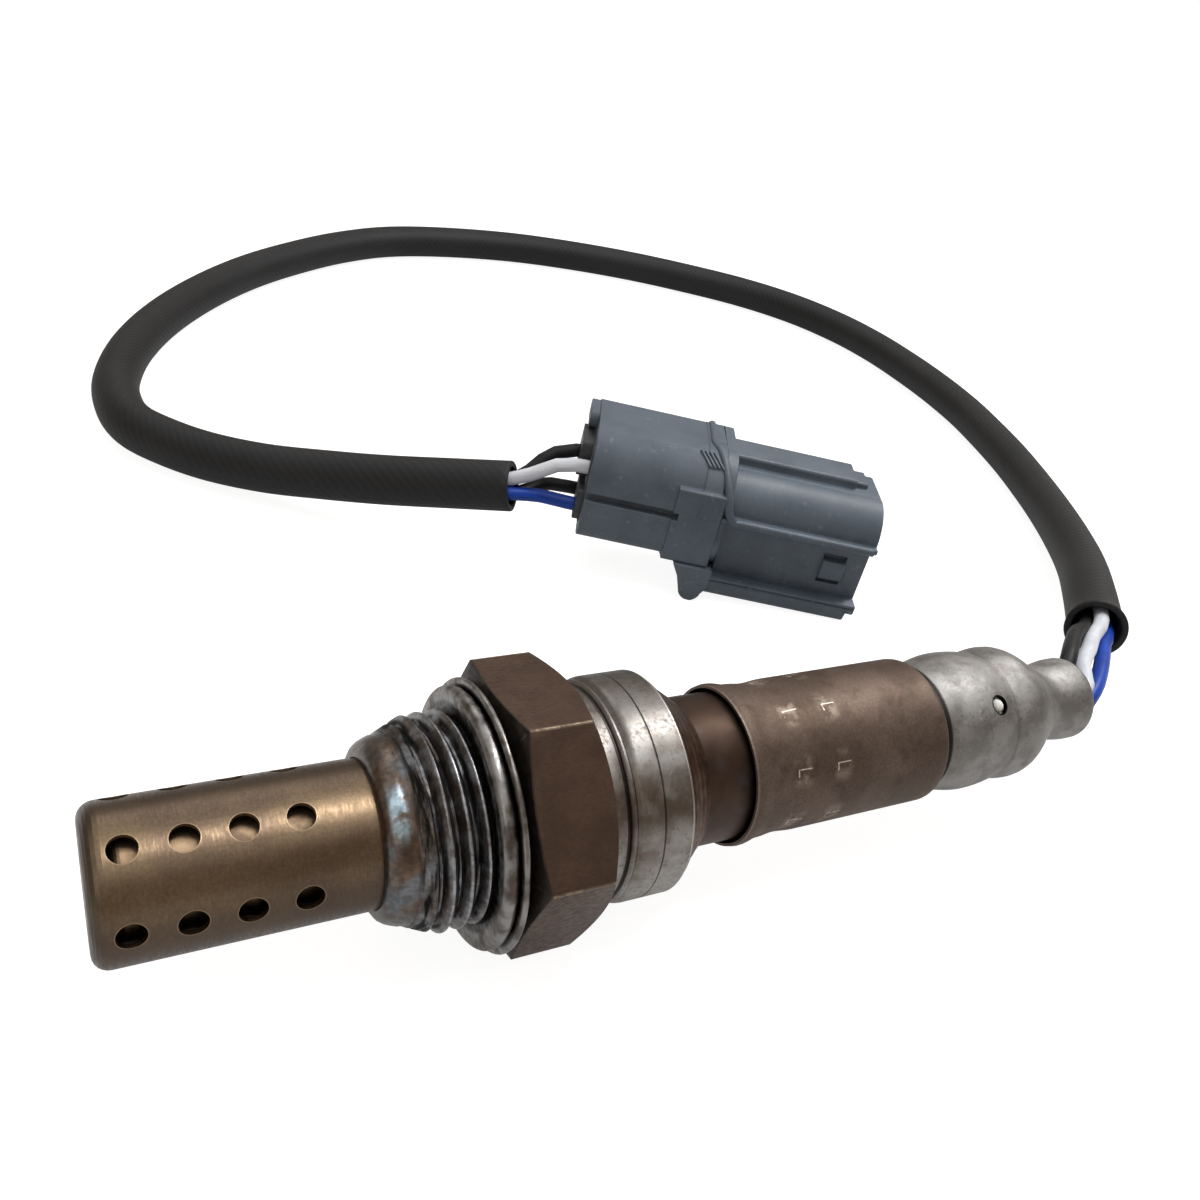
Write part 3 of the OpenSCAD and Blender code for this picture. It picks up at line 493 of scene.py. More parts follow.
# %% [markdown]
# ## Nose and thread
# The shell's nose grips the protector, then widens to an M18 thread with a 1.5 mm pitch.
# A real thread is a groove that climbs, so the ridge is drawn once as a small section and
# the Screw modifier turns it. A turned envelope then trims its crests to the lead-in cone.

# %% The shell's turned body
SHELL = [(-7.35, 6.17), (-7.9, 6.17), (-7.9, 6.4), (-7.82, 6.75), (-7.6, 7.1), (-7.25, 7.36),
         (-6.8, 7.56), (-6.35, 7.72), (-6.2, 7.7), (-5.9, 7.82), (-5.3, 8.05), (-0.15, 8.05),
         (0.0, 8.4), (2.2, 8.4), (2.2, 8.6), (17.2, 8.6), (17.2, 5.0), (16.3, 5.0), (16.3, 5.6),
         (-1.0, 5.6), (-1.0, 3.15), (-6.5, 3.15), (-6.5, 7.12), (-7.35, 7.12)]
shell_body = lathe("shell_body", SHELL, 160)
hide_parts("threaded_shell")
print("shell body:", len(shell_body.data.polygons), "faces")

# %% The thread's ridge
THREAD_PITCH, THREAD_TURNS, RIDGE_START = 1.5, 5, -7.0
RIDGE = [(-0.7, 7.95), (-0.2, 8.83), (-0.1, 8.97), (0.0, 9.0),
         (0.1, 8.97), (0.2, 8.83), (0.7, 7.95)]
LEAD_IN = [(-5.7, 7.93), (-3.4, 9.02), (-0.35, 9.02), (0.0, 8.5), (0.0, 7.5), (-5.7, 7.5)]
start_clean()
bpy.ops.mesh.primitive_circle_add(vertices=len(RIDGE), radius=MM)
ridge = bpy.context.object
ridge.name = "thread_ridge"
for corner, (x, r) in zip(ridge.data.vertices, RIDGE):
    corner.co = Vector((x + RIDGE_START, r, 0)) * MM
screw = ridge.modifiers.new("pitch", "SCREW")
screw.axis = "X"
screw.screw_offset = THREAD_PITCH * MM
screw.iterations = THREAD_TURNS
screw.steps = screw.render_steps = 96
apply_all(ridge)
bpy.ops.object.mode_set(mode="EDIT")
bpy.ops.mesh.select_all(action="SELECT")
bpy.ops.mesh.fill_holes(sides=0)
bpy.ops.mesh.normals_make_consistent(inside=False)
bpy.ops.object.mode_set(mode="OBJECT")
cut_with(ridge, lathe("lead_in", LEAD_IN, 150), "INTERSECT")
settle(ridge, 40)
print("thread ridge:", len(ridge.data.polygons), "faces")

# %% [markdown]
# ## Used nose steel
# The nose and thread are bare steel that was hot for years. Thin oxide gives patches of
# brown and blue, and burnt anti-seize paste blackens the thread's roots. The crests are
# lightened all round, as rubbed metal and as a painted highlight line, and a painted
# highlight puts a pale blue-white spot on the nose's upper side. Depth in the thread
# decides where the black is, and the paste is smeared round the thread, so its noise is
# drawn out that way.

# %% Tempered and grimy steel
tempered, skin, spot, along, out, angle = lathe_finish("tempered_thread_steel", 0.95, 0.35)
thread_part = band(along, -5.9, -5.2)
nose = coat("6c6662", "6e5b4e", blotches(spot, 4.0, 3.0, 0.42, 0.6))
nose = coat(nose, "7a8894", blotches(spot, 2.6, 3.0, 0.5, 0.66), 0.45)
# painted highlight: a pale blue-white spot on the upper side of the nose
nose = coat(nose, "b4cad6", blotches(spot, 0.9, 4.0, 0.3, 0.6), within(angle, 38, 66, 8),
            within(along, -7.3, -6.1, 0.3))
flank = coat("8a8a8d", "6a625c", blotches(spot, 2.0, 4.0, 0.4, 0.6))
soot = blotches(spot, 0.6, 6.0, 0.36, 0.6)
smear = band(grain(spot, 0.4, 6.0, (1.0, 0.14, 0.14)), 0.42, 0.6, 0.95, 0.2)
grime = all_of(band(out, 8.8, 8.35), thread_part, smear)
hue = coat(nose, flank, thread_part)
hue = coat(hue, "262321", soot, 0.4)
hue = coat(hue, "0d0c0c", grime)
# painted highlight along the thread crests, on top of rubbed metal
hue = coat(hue, "9fa3a8", band(out, 8.88, 8.98), thread_part, band(soot, 0.0, 1.0, 0.85, 0.35))
lay_on(skin, hue, band(grime, 0.0, 1.0, 0.3, 0.7),
       blotches(spot, 0.35, 6.0, 0.2, 0.8), 0.03, 0.35)
wear(shell_body, tempered, "shell_steel")
wear(ridge, tempered, "shell_steel")
print("thread finished")

# %% [markdown]
# ## Hexagon
# The spanner hexagon is machined bar. Its rear corners have the usual 30 degree chamfer,
# and its front is turned a little domed. A six-sided prism is cut by a turned double
# cone, which draws the curved corner lines by itself, and a small bevel wears the edges.

# %% A chamfered hexagon
HEX_AF, HEX_X, HEX_END, HEX_TURN = 22.0, 2.1, 9.6, 9.5
HEX_CORNER = HEX_AF / math.sqrt(3)
DOME_R, DOME_SLOPE, REAR_R, REAR_SLOPE = 8.5, 0.235, 10.9, math.tan(math.radians(30))
start_clean()
bpy.ops.mesh.primitive_cylinder_add(
    vertices=6, radius=HEX_CORNER * MM, depth=(HEX_END - HEX_X) * MM,
    location=((HEX_X + HEX_END) / 2 * MM, 0, 0), rotation=(0, math.pi / 2, 0))
hexagon = bpy.context.object
hexagon.name = "hexagon"
bpy.ops.object.transform_apply(location=True, rotation=True, scale=True)
bpy.ops.object.mode_set(mode="EDIT")
bpy.ops.mesh.select_all(action="SELECT")
bpy.ops.transform.rotate(value=math.radians(HEX_TURN), orient_axis="X", center_override=(0, 0, 0))
bpy.ops.object.mode_set(mode="OBJECT")
beyond = HEX_CORNER + 0.5
cut_with(hexagon, lathe("chamfers", [
    (HEX_X - 0.01, DOME_R), (HEX_X + (beyond - DOME_R) * DOME_SLOPE, beyond),
    (HEX_END - (beyond - REAR_R) * REAR_SLOPE, beyond), (HEX_END + 0.01, REAR_R),
    (HEX_END + 0.01, 8.45), (HEX_X - 0.01, 8.45)], 192), "INTERSECT")
soften(hexagon, 0.09, 2, 24)
settle(hexagon, 30)
print("hexagon:", len(hexagon.data.polygons), "faces")

# %% [markdown]
# The hexagon's steel went dark brown with heat and has a satin grain from its machining.
# The spanner has rubbed its six long edges, in nicks and not in a clean line. The domed
# front, next to the gasket, is almost black with painted shade, and its edge is found by the
# cone's slope.

# %% Dark satin steel
dark_hex, skin, spot, along, out, angle = lathe_finish("heat_darkened_hexagon_steel", 0.75, 0.45)
satin = grain(spot, 0.2, 4.0, (0.35, 1.0, 1.0))
nick = blotches(spot, 0.8, 6.0, 0.4, 0.62)
tree = skin.id_data
from_corner = node(tree, "ShaderNodeMath", {0: from_nearest(angle, HEX_TURN, SIXTH)},
                   operation="ABSOLUTE")
from_cone = node(tree, "ShaderNodeMath", {0: out, 1: -DOME_SLOPE, 2: along},
                 operation="MULTIPLY_ADD")
cone_at = HEX_X - DOME_R * DOME_SLOPE
hue = coat("503e33", "5c483b", blotches(spot, 3.0, 5.0))
hue = coat(hue, "2a201a", band(satin, 0.35, 0.7), 0.35)
hue = coat(hue, "978674", band(from_corner, 0.9, 0.25), band(nick, 0.0, 1.0, 0.35, 0.9))
# painted shade: the domed front beside the gasket is nearly black
hue = coat(hue, "282522", band(from_cone, cone_at + 0.22, cone_at + 0.06),
           band(nick, 0.0, 1.0, 1.0, 0.75))
lay_on(skin, hue, band(satin, 0.3, 0.7, 0.4, 0.58), satin, 0.01, 0.35)
wear(hexagon, dark_hex, "shell_steel")
print("hexagon finished")

# %% [markdown]
# ## Gasket
# The captive gasket is a ring of sheet steel folded on itself: a fat front bead, a dark
# slot, and a wider, thinner rear leaf. It is turned here from its section, with the slot
# left open, because the thin black line is what makes it read as folded sheet. It is loose
# on the shank, so it hangs a little low, as far as the table lets it.

# %% Folded sheet gasket
GASKET = ([(0.3, 8.45), (0.0, 8.9), (0.0, 9.9)] + arc(0.68, 10.4, 0.68, 170, 15)
          + [(1.34, 10.1), (1.26, 9.6), (1.34, 9.6), (1.42, 10.4), (1.36, 11.1)]
          + arc(1.63, 11.32, 0.27, 160, 0) + [(1.9, 10.1), (1.9, 8.45)])
SLOT_AT = (1.26, 1.44)
SAG = 0.28
gasket = lathe("folded_gasket", GASKET, 192)
gasket.location.z = -SAG * MM
settle(gasket)
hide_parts("seal_gasket")
bright, skin, spot, along, out, angle = lathe_finish("rubbed_gasket_steel", 1.0, 0.3)
hue = coat("8f8d8b", "605a55", blotches(spot, 1.8, 5.0, 0.4, 0.62))
hue = coat(hue, "4a3d34", blotches(spot, 3.5, 3.0, 0.56, 0.68), 0.6)
# painted shade: the slot between bead and leaf is painted black
hue = coat(hue, "060606", band(out, 11.0, 10.7), within(along, *SLOT_AT, 0.03))
# painted shade: the inner part of the front face, next to the thread, is darker
hue = coat(hue, "24211f", band(out, 9.9, 9.4), 0.8)
lay_on(skin, hue, band(blotches(spot, 0.6), 0.0, 1.0, 0.28, 0.46),
       blotches(spot, 0.5, 5.0, 0.2, 0.8), 0.03, 0.3)
wear(gasket, bright, "gasket_steel")
print("gasket:", len(gasket.data.polygons), "faces")

# %% [markdown]
# ## Collar
# A silver ring is welded over the joint of shell and cover. It was turned: a step and a
# bead beside the hexagon, a groove, a broad band with one scored line, and a rolled
# shoulder. The steps are only tenths of a millimetre, so they are drawn as stations.

# %% Turned weld collar
ROLL_AT = (17.24, 9.93)
COLLAR = ([(9.6, 8.65), (9.6, 9.4), (9.75, 9.5), (10.3, 9.55), (11.1, 9.55), (11.26, 9.46),
           (11.42, 9.46), (11.58, 9.66), (11.75, 9.79), (11.92, 9.79), (12.04, 9.66), (12.1, 9.6),
           (12.2, 9.66), (12.35, 9.84), (12.6, 9.98), (12.95, 10.03), (14.34, 10.03), (14.4, 9.95),
           (14.47, 9.95), (14.53, 10.03), (16.95, 10.03), (17.12, 10.03)]
          + wave([ROLL_AT, (18.1, 8.98), (18.85, 8.44), (19.6, 7.85), (20.35, 7.3)], 3)
          + [(20.6, 7.1), (20.6, 6.95), (18.2, 6.95), (18.0, 8.65)])
collar = lathe("turned_collar", COLLAR, 192)
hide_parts("weld_collar")
print("collar:", len(collar.data.polygons), "faces")

# %% [markdown]
# The collar was turned bright, and years of heat have clouded it with brown stains and fine
# dark specks. The groove and the scored line are darker, and the rolled shoulder behind the
# rim is burnt brown by the weld. A painted reflection lays a brownish band partway up the
# side that faces the camera, painted shade darkens the top, and a painted highlight
# brightens the rim of the shoulder.

# %% Clouded bright steel
silver, skin, spot, along, out, angle = lathe_finish("turned_bright_steel", 1.0, 0.3)
hue = coat("979490", "7c7670", blotches(spot, 2.2, 6.0, 0.4, 0.64))
hue = coat(hue, "5a4434", blotches(spot, 5.0, 3.0, 0.5, 0.68), 0.5)
# painted reflection: a brownish band partway up the side facing the camera
hue = coat(hue, "665b52", within(angle, 20, 46, 8), blotches(spot, 2.5, 4.0, 0.3, 0.6))
hue = coat(hue, coat("6b5345", "543f33", blotches(spot, 1.2)), band(along, 17.2, 17.4))
hue = coat(hue, "24201d", band(out, 9.66, 9.56), within(along, 11.2, 12.25, 0.04), 0.9)
hue = coat(hue, "2f2925", within(along, 14.36, 14.5, 0.04), 0.75)
# painted shade: the top of the collar is darker
hue = coat(hue, "5b5651", band(angle, 55, 85), 0.5)
# painted highlight: a bright line on the rim of the shoulder
hue = coat(hue, "c4c0ba", within(along, 17.04, 17.22, 0.03), 0.7)
speck = grain(spot, 0.3)
hue = coat(hue, "4f4a45", band(speck, 0.58, 0.7, 0.0, 0.5))
lay_on(skin, hue, band(speck, 0.3, 0.7, 0.34, 0.5), speck, 0.02, 0.25)
wear(collar, silver, "collar_steel")
print("collar finished")

# %% [markdown]
# ## Covers
# Two thin steel tubes carry the rear: the inner one comes out of the collar, and the
# outer one is slid over it and crimped. The outer cover's lip flares a little, its
# waist is pressed in and its rear edge is curled. Both are one sheet thick, so each is
# one line, outside and back along the inside.

# %% Inner and outer cover
INNER_LINE = [(17.35, 8.4), (17.8, 8.4), (17.82, 7.0), (18.2, 6.9), (25.8, 6.9), (27.0, 6.55),
              (46.8, 6.55)]
OUTER_R = 7.28
OUTER_LINE = (wave([(25.2, 7.52), (25.75, 7.62), (27.6, 7.3), (29.8, 7.12), (32.2, OUTER_R)], 6)
              + [(40.0, OUTER_R), (46.6, OUTER_R)] + arc(47.25, 6.43, 0.85, 85, 12, 7))
inner_tube = lathe("inner_cover_tube", shell_of(INNER_LINE, 0.45), 128)
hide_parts("inner_cover")
outer_tube = lathe("outer_cover_tube", shell_of(OUTER_LINE, 0.25), 192)
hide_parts("outer_cover")
print("covers:", len(inner_tube.data.polygons) + len(outer_tube.data.polygons), "faces")

# %% [markdown]
# Next to the weld the inner cover burnt dark brown, with a few blue-grey patches, and it is
# black in the shade of the outer one. The outer cover stayed cooler: a satin taupe with a
# grain of 0.25 mm, brighter where its lip and its curled edge are rubbed.

# %% Burnt brown and satin taupe
brown, skin, spot, along, out, angle = lathe_finish("burnt_inner_cover_steel", 0.9, 0.46)
hue = coat("3a2d25", "4a3930", blotches(spot, 5.0, 3.0, 0.4, 0.62))
hue = coat(hue, "50575e", blotches(spot, 3.6, 2.0, 0.55, 0.7), 0.4)
hue = coat(hue, "17110d", band(along, 24.6, 25.6))
lay_on(skin, hue, None, blotches(spot, 0.4, 4.0, 0.2, 0.8), 0.02, 0.25)
wear(inner_tube, brown, "inner_cover_steel")
taupe, skin, spot, along, out, angle = lathe_finish("satin_taupe_cover_steel", 0.85, 0.58)
hue = coat("605147", "706056", blotches(spot, 6.0, 4.0, 0.38, 0.64))
hue = coat(hue, "43372f", blotches(spot, 2.4, 5.0, 0.5, 0.72), 0.5)
hue = coat(hue, "93877c", band(along, 25.5, 25.3), 0.5)
hue = coat(hue, "85766a", band(along, 47.5, 47.9), 0.5)
print("cover base finished")

# %% [markdown]
# The crimping tool left eight short scratches in each of two rows round the outer cover.
# Each is a bright tick along the cover with a small foot across it, in a smudge of rubbed
# metal. They are far too shallow for a mesh, so they are masks in the finish.

# %% Crimp marks
CRIMP_AT, CRIMP_EVERY = 30, 45
sideways = all_of(from_nearest(angle, CRIMP_AT, CRIMP_EVERY), math.radians(OUTER_R))
patchy = blotches(spot, 0.5, 4.0, 0.3, 0.5)
for start in (29.9, 34.2):
    hue = coat(hue, "a8998b", blotches(spot, 1.4, 5.0, 0.4, 0.58),
               within(along, start - 0.3, start + 1.4, 0.5),
               within(sideways, -1.5, 1.0, 0.7), 0.6)
    hue = coat(hue, "e4dacd", within(along, start, start + 1.5, 0.04),
               within(sideways, -0.05, 0.05, 0.03), patchy)
    hue = coat(hue, "d8cdbf", within(along, start, start + 0.12, 0.03),
               within(sideways, -0.7, 0.0, 0.04), patchy)
fine = grain(spot, 0.25)
hue = coat(hue, "2c231c", band(fine, 0.68, 0.35), 0.25)
lay_on(skin, hue, None, fine, 0.012, 0.35)
wear(outer_tube, taupe, "outer_cover_steel")
print("covers finished")

# %% [markdown]
# ## End cap
# The rear cap is spun from sheet: two round bulges over the grommet's seat, a deep neck
# that grips the rubber and a small tail. Cosine steps draw the swells that are level at
# both ends, and two parabolas meet in the crease between the bulges. A vent hole, punched
# through the front bulge, lets the inside breathe.

# %% Spun end cap and its vent
CREASE_X, CREASE_R, CAP_WALL = 57.6, 6.66, 0.45
VENT_AT, VENT_ANGLE, VENT_R = 55.1, 49, 0.92


def dive(top_x, top_r, steps):
    """A parabola from the top of a bulge down to the crease."""
    return [(top_x + (CREASE_X - top_x) * i / steps, top_r + (CREASE_R - top_r) * (i / steps) ** 2)
            for i in range(1, steps + 1)]


def at_vent(radius_mm):
    """The point on the vent's middle line at a distance from the axis."""
    up = math.radians(VENT_ANGLE)
    return Vector((VENT_AT, -radius_mm * math.cos(up), radius_mm * math.sin(up))) * MM


CAP_LINE = ([(49.2, 6.5)] + wave([(49.4, 6.62), (53.6, 7.16)]) + dive(53.6, 7.16, 10)
            + dive(60.0, 7.02, 6)[-2::-1] + wave([(60.0, 7.02), (66.8, 4.15), (70.0, 4.47)]))
CAP_TAIL = arc(70.7, 3.37, 1.1, 84, 5, 7) + [(72.4, 3.3), (72.3, 2.9), (71.0, 3.0), (70.3, 3.8)]
CAP_INSIDE = [(x, r - CAP_WALL) for x, r in reversed(CAP_LINE)]
cap = lathe("spun_end_cap", [(45.2, 6.05)] + CAP_LINE + CAP_TAIL + CAP_INSIDE + [(45.2, 5.6)], 192)
start_clean()
bpy.ops.mesh.primitive_cylinder_add(
    vertices=48, radius=VENT_R * MM, depth=3.0 * MM, location=at_vent(6.9),
    rotation=(math.radians(90 - VENT_ANGLE), 0, 0))
cut_with(cap, bpy.context.object, "DIFFERENCE")
settle(cap)
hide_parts("end_cap")
print("cap:", len(cap.data.polygons), "faces")

# %% [markdown]
# Spinning leaves a satin silver with light and dark specks, which are drawn at a third of a
# millimetre. Some heat stain, painted shade in the crease and in the joint with the cover,
# and painted shade round the slightly sunk edge of the vent complete it.

# %% Spun satin steel
satin_cap, skin, spot, along, out, angle = lathe_finish("spun_satin_steel", 1.0, 0.45)
hue = coat("969492", "817f7c", blotches(spot, 2.5, 6.0, 0.38, 0.64))
hue = coat(hue, "655a53", blotches(spot, 2.2, 3.0, 0.55, 0.7), 0.4)
speck = grain(spot, 0.35, 5.0)
hue = coat(hue, "d8d6d0", band(speck, 0.62, 0.72, 0.0, 0.3))
hue = coat(hue, "55504c", band(speck, 0.42, 0.32, 0.0, 0.4))
# painted shade in the crease between the bulges
hue = coat(hue, "4a4541", within(along, 57.5, 57.7, 0.15), 0.4)
# painted shade in the joint under the cover's curled edge
hue = coat(hue, "120f0d", band(along, 49.1, 48.8), 0.9)
past_vent, beside_vent = (
    node(skin.id_data, "ShaderNodeMath", {0: value, 1: middle}, operation="SUBTRACT")
    for value, middle in ((along, VENT_AT), (angle, VENT_ANGLE)))
from_vent = over_surface(past_vent, beside_vent, 7.0)
# painted shade: a dark ring round the vent and on its wall
hue = coat(hue, "0d0c0b", band(from_vent, 1.12, 0.96))
lay_on(skin, hue, band(speck, 0.3, 0.7, 0.5, 0.64), speck, 0.025, 0.4)
wear(cap, satin_cap, "cap_steel")
print("cap finished")

# %% [markdown]
# The vent breathes through a white membrane, which is soft and held only at its rim, so it
# swells a little into the hole. A small ball, most of it under the sheet, draws that
# swelling, and it shows as a white dot in a dark ring.

# %% The membrane in the vent
start_clean()
bpy.ops.mesh.primitive_uv_sphere_add(
    segments=32, ring_count=16, radius=0.7 * MM, location=at_vent(6.48))
dot = bpy.context.object
dot.name = "vent_membrane_swelling"
settle(dot, 60)
print("vent dot:", len(dot.data.polygons), "faces")

# %% [markdown]
# ## The other metal, ceramic and rubber parts
# Behind the holes and inside the shell sit a zirconia thimble with its heater, washers,
# powder packing, contacts, springs and seals. They hardly show, so they keep their solids,
# but each still gets the cloudy two-tone finish of its own stuff.

# %% Finishes for the inner parts
def cloudy(name, first, second, size_mm, **shader):
    """A finish of two near tones in soft clouds, with a little relief."""
    finish, skin = new_finish(name, **shader)
    clouds = blotches(place(skin), size_mm)
    lay_on(skin, coat(first, second, clouds), None, clouds)
    return finish


INNER_FINISHES = (
    # nodes, slot, material, two tones, cloud size in mm, metallic, roughness
    ("sensing_thimble", "zirconia", "fired_zirconia", "e8e2d4", "d8cfbc", 1.5, 0.0, 0.4),
    ("heater_rod", "heater_ceramic", "heater_ceramic", "d9d4c8", "c4bdae", 1.0, 0.0, 0.5),
    ("alumina_sleeve", "alumina", "fired_alumina", "efece4", "e2dccf", 1.5, 0.0, 0.5),
    ("contact_holder", "holder_ceramic", "holder_steatite", "e6e1d5", "d6cfc0", 1.2, 0.0, 0.5),
    ("talc_packing", "talc", "pressed_talc", "cfc8b4", "bcb49e", 0.4, 0.0, 0.9),
    ("seat_washer crimp_washer", "washer_steel", "stamped_washer_steel",
     "b0aca4", "8f8a82", 0.8, 1.0, 0.35),
    ("holder_spring", "spring_steel", "spring_strip", "a9a9a4", "8d8d88", 0.8, 1.0, 0.3),
    ("signal_contact ground_contact heater_contacts", "contact_metal", "nickel_contact_strip",
     "c9c4b8", "ada798", 0.8, 1.0, 0.3),
    ("wire_crimps", "crimp_brass", "crimp_brass", "c4b68e", "a8986c", 0.6, 1.0, 0.35),
    ("plug_terminals", "terminal_brass", "tinned_blade_brass", "c9b26a", "b09a58", 0.8, 1.0, 0.3),
    ("wire_seals", "seal_rubber", "seal_silicone", "3f6f9c", "355f86", 0.8, 0.0, 0.6),
    ("grommet", "grommet_rubber", "grommet_rubber", "2b2b2b", "38373a", 0.7, 0.0, 0.7),
    ("vent_filter", "filter_cloth", "vent_membrane", "f2f2ee", "dcdcd6", 0.15, 0.0, 0.9))
for names, slot, finish_name, first, second, size_mm, metallic, roughness in INNER_FINISHES:
    finish = cloudy(finish_name, first, second, size_mm, Metallic=metallic, Roughness=roughness)
    for name in names.split():
        wear(frame["nodes"][name], finish, slot)
wear(dot, finish, slot)  # the last row's finish is the membrane's
print("inner parts finished")

# %% [markdown]
# ## Plug housing
# The plug is one piece of glass-filled nylon from an injection mould, so no edge on it
# is truly sharp. The solid already has every wall, rib and window. A copy of it is
# merged, its flat faces are joined, and a small bevel gives the mould's soft edges. Where
# short edges meet, a bevel can throw a corner off the solid, so such a corner goes back on it.

# %% A copy with moulded edges
def moulded(name, source, edge_mm):
    """A merged copy of a solid with small rounded edges."""
    solid = frame["nodes"][source]
    start_clean()
    piece = bpy.data.objects.new(name, solid.data.copy())
    scene.collection.objects.link(piece)
    activate(piece)
    bpy.ops.object.mode_set(mode="EDIT")
    bpy.ops.mesh.select_all(action="SELECT")
    bpy.ops.mesh.remove_doubles(threshold=0.002 * MM)
    bpy.ops.mesh.dissolve_limited(angle_limit=math.radians(1))
    bpy.ops.object.mode_set(mode="OBJECT")
    soften(piece, edge_mm, 2, 38, clamp=False)
    for corner in piece.data.vertices:
        found, on_solid, _, _ = solid.closest_point_on_mesh(corner.co)
        if found and (on_solid - corner.co).length > 1.3 * edge_mm * MM:
            corner.co = on_solid
    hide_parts(source)
    return settle(piece, 32)


plug = moulded("moulded_plug", "plug_housing", 0.12)
retainer = moulded("moulded_retainer", "plug_retainer", 0.08)
print("plug:", len(plug.data.polygons), "faces")

# %% [markdown]
# Glass-filled nylon comes out of the mould blue-grey and matt, because the fibres break
# the surface into a fine grain, drawn here at 0.18 mm, and dust settles on it in pale
# dots. The retainer is the same stuff in near black.

# %% Grey-blue moulded nylon
nylon, skin = new_finish("moulded_grey_nylon", Roughness=0.42, IOR=1.53)
spot = place(skin)
hue = coat("4f5a66", "5a6571", blotches(spot, 6.0))
fibre = grain(spot, 0.18, 3.0)
hue = coat(hue, "20262c", band(fibre, 0.7, 0.35), 0.2)
hue = coat(hue, "98a0a4", blotches(spot, 0.9, 8.0, 0.62, 0.74), 0.25)
lay_on(skin, hue, band(fibre, 0.3, 0.7, 0.44, 0.58), fibre, 0.01, 0.4)
wear(plug, nylon, "plug_plastic")
wear(retainer, cloudy("retainer_nylon", "35383b", "2a2c2f", 1.0, Roughness=0.5), "retainer_plastic")
print("plug finished")

# %% [markdown]
# ## The wires and their sleeve
# Four insulated wires leave the sensor, run side by side through a black sleeve and end
# in the plug. The route is the model's, point by point; only the free bends at both ends
# are drawn closer to how the real wires spring. Inside the sleeve the four wires lie
# round its middle line and twist slowly.

# %% Routes of the sleeve and the wires
SLEEVE_ROUTE = [Vector(p) for p in (
    (89.8, 11.5, -1), (98.9, 20.3, -2.6), (108.3, 29.7, -4.6), (116.8, 39.8, -6.4),
    (124.4, 50.4, -7.8), (130.2, 60.6, -8.4), (134.6, 70.6, -8.4), (138.4, 81, -8.4),
    (141.8, 92, -8.4), (144.2, 104, -8.4), (145.5, 116, -8.4), (145.8, 128, -8.4),
    (144.2, 140, -8.4), (140, 152, -8.4), (132.6, 163, -8.4), (122.6, 172.4, -8.4),
    (110.4, 181.4, -8.4), (96.5, 188.6, -8.4), (82, 193.4, -8.4), (66, 195, -8.4),
    (52, 193.4, -8.4), (39.4, 187.6, -8.4), (27, 178.6, -8.4), (15, 167.6, -8.4),
    (4, 154.2, -8.4), (-5, 140, -8.4), (-11.4, 126, -8.4), (-15, 113, -8.4),
    (-15.6, 103.6, -8.4), (-14.4, 96.6, -8.4), (-11, 90.8, -8.3), (-6, 85, -8.1),
    (0.6, 79.4, -7.5), (7.6, 74.2, -6.3), (14.6, 69.1, -4.9), (22.2, 63.7, -3.1),
    (28.8, 59, -1.5))]
LAST = len(SLEEVE_ROUTE) - 1
WIRE_R, SLEEVE_R, SLEEVE_BORE = 0.925, 3.4, 2.55
GROMMET_LINE = ((43.5, 2.86), (59.4, 2.0), (62.4, 1.9), (72.3, 1.9))
BUNDLE_R, TWIST, CELL_IN, CELL_DEEP = 1.36, 12, -20.9, -9.0
PLUG_AT = Vector((55.4, 48.5, -1.1266))
PLUG_TURN = Matrix.Rotation(math.radians(-27), 3, "Z") @ Matrix.Rotation(math.radians(3.2), 3, "Y")
WIRES = {
    "wire_black_a": dict(slot=45, angle=172, rear=(33.3, 60.4, 1.5), cell=(1.9, 3.1),
                         front=[(73.9, 2.9, 2.8), (78.1, 6.1, 2.4), (82.8, 9.2, 1.1)]),
    "wire_white": dict(slot=135, angle=82, rear=(32.4, 57.2, 1.75), cell=(-2.9, 3.1),
                       front=[(77.1, 3.1, 1.4), (80.5, 5.3, 1.4), (85.5, 8.7, 0.3)]),
    "wire_blue": dict(slot=225, angle=-8, rear=(32.2, 57.3, -2.25), cell=(-2.9, -2.5),
                      front=[(76.8, 0.2, -0.4), (82.4, 4.1, -0.4), (87.5, 8.2, -0.9)]),
    "wire_black_b": dict(slot=315, angle=-98, rear=(33.7, 60.6, -2.3), cell=(1.9, -2.5),
                         front=[(75.4, 2.5, -1.3), (79, 4.7, -0.9), (84, 8.2, -1.5)])}


def across(i):
    """Side and up directions of the sleeve at one of its points."""
    ahead = (SLEEVE_ROUTE[min(i + 1, LAST)] - SLEEVE_ROUTE[max(i - 1, 0)]).normalized()
    side = ahead.cross(Vector((0, 0, 1))).normalized()
    return side, side.cross(ahead)


def in_plug(point):
    """A point of the plug's own frame, placed where the plug lies."""
    return PLUG_TURN @ Vector(point) + PLUG_AT


def wire_route(slot, front, angle, rear, cell):
    """Grommet, free bend, a slow twist through the sleeve, free bend and plug cell."""
    c, s = math.cos(math.radians(slot)), math.sin(math.radians(slot))
    points = [Vector((x, r * c, r * s)) for x, r in GROMMET_LINE] + [Vector(p) for p in front]
    for i, centre in enumerate(SLEEVE_ROUTE):
        side, up = across(i)
        a = math.radians(angle - TWIST * i / LAST)
        points.append(centre + BUNDLE_R * (math.cos(a) * side + math.sin(a) * up))
    return points + [Vector(rear)] + [in_plug((x, *cell)) for x in (CELL_IN, CELL_DEEP)]


print("routes:", len(SLEEVE_ROUTE), "points in the sleeve")

# %% [markdown]
# A tube is easiest as mesh code: a smooth line is drawn through the points, and a ring is
# carried along it without twisting. That also gives each tube clean coordinates for its
# pattern: metres along it, and turns round it.

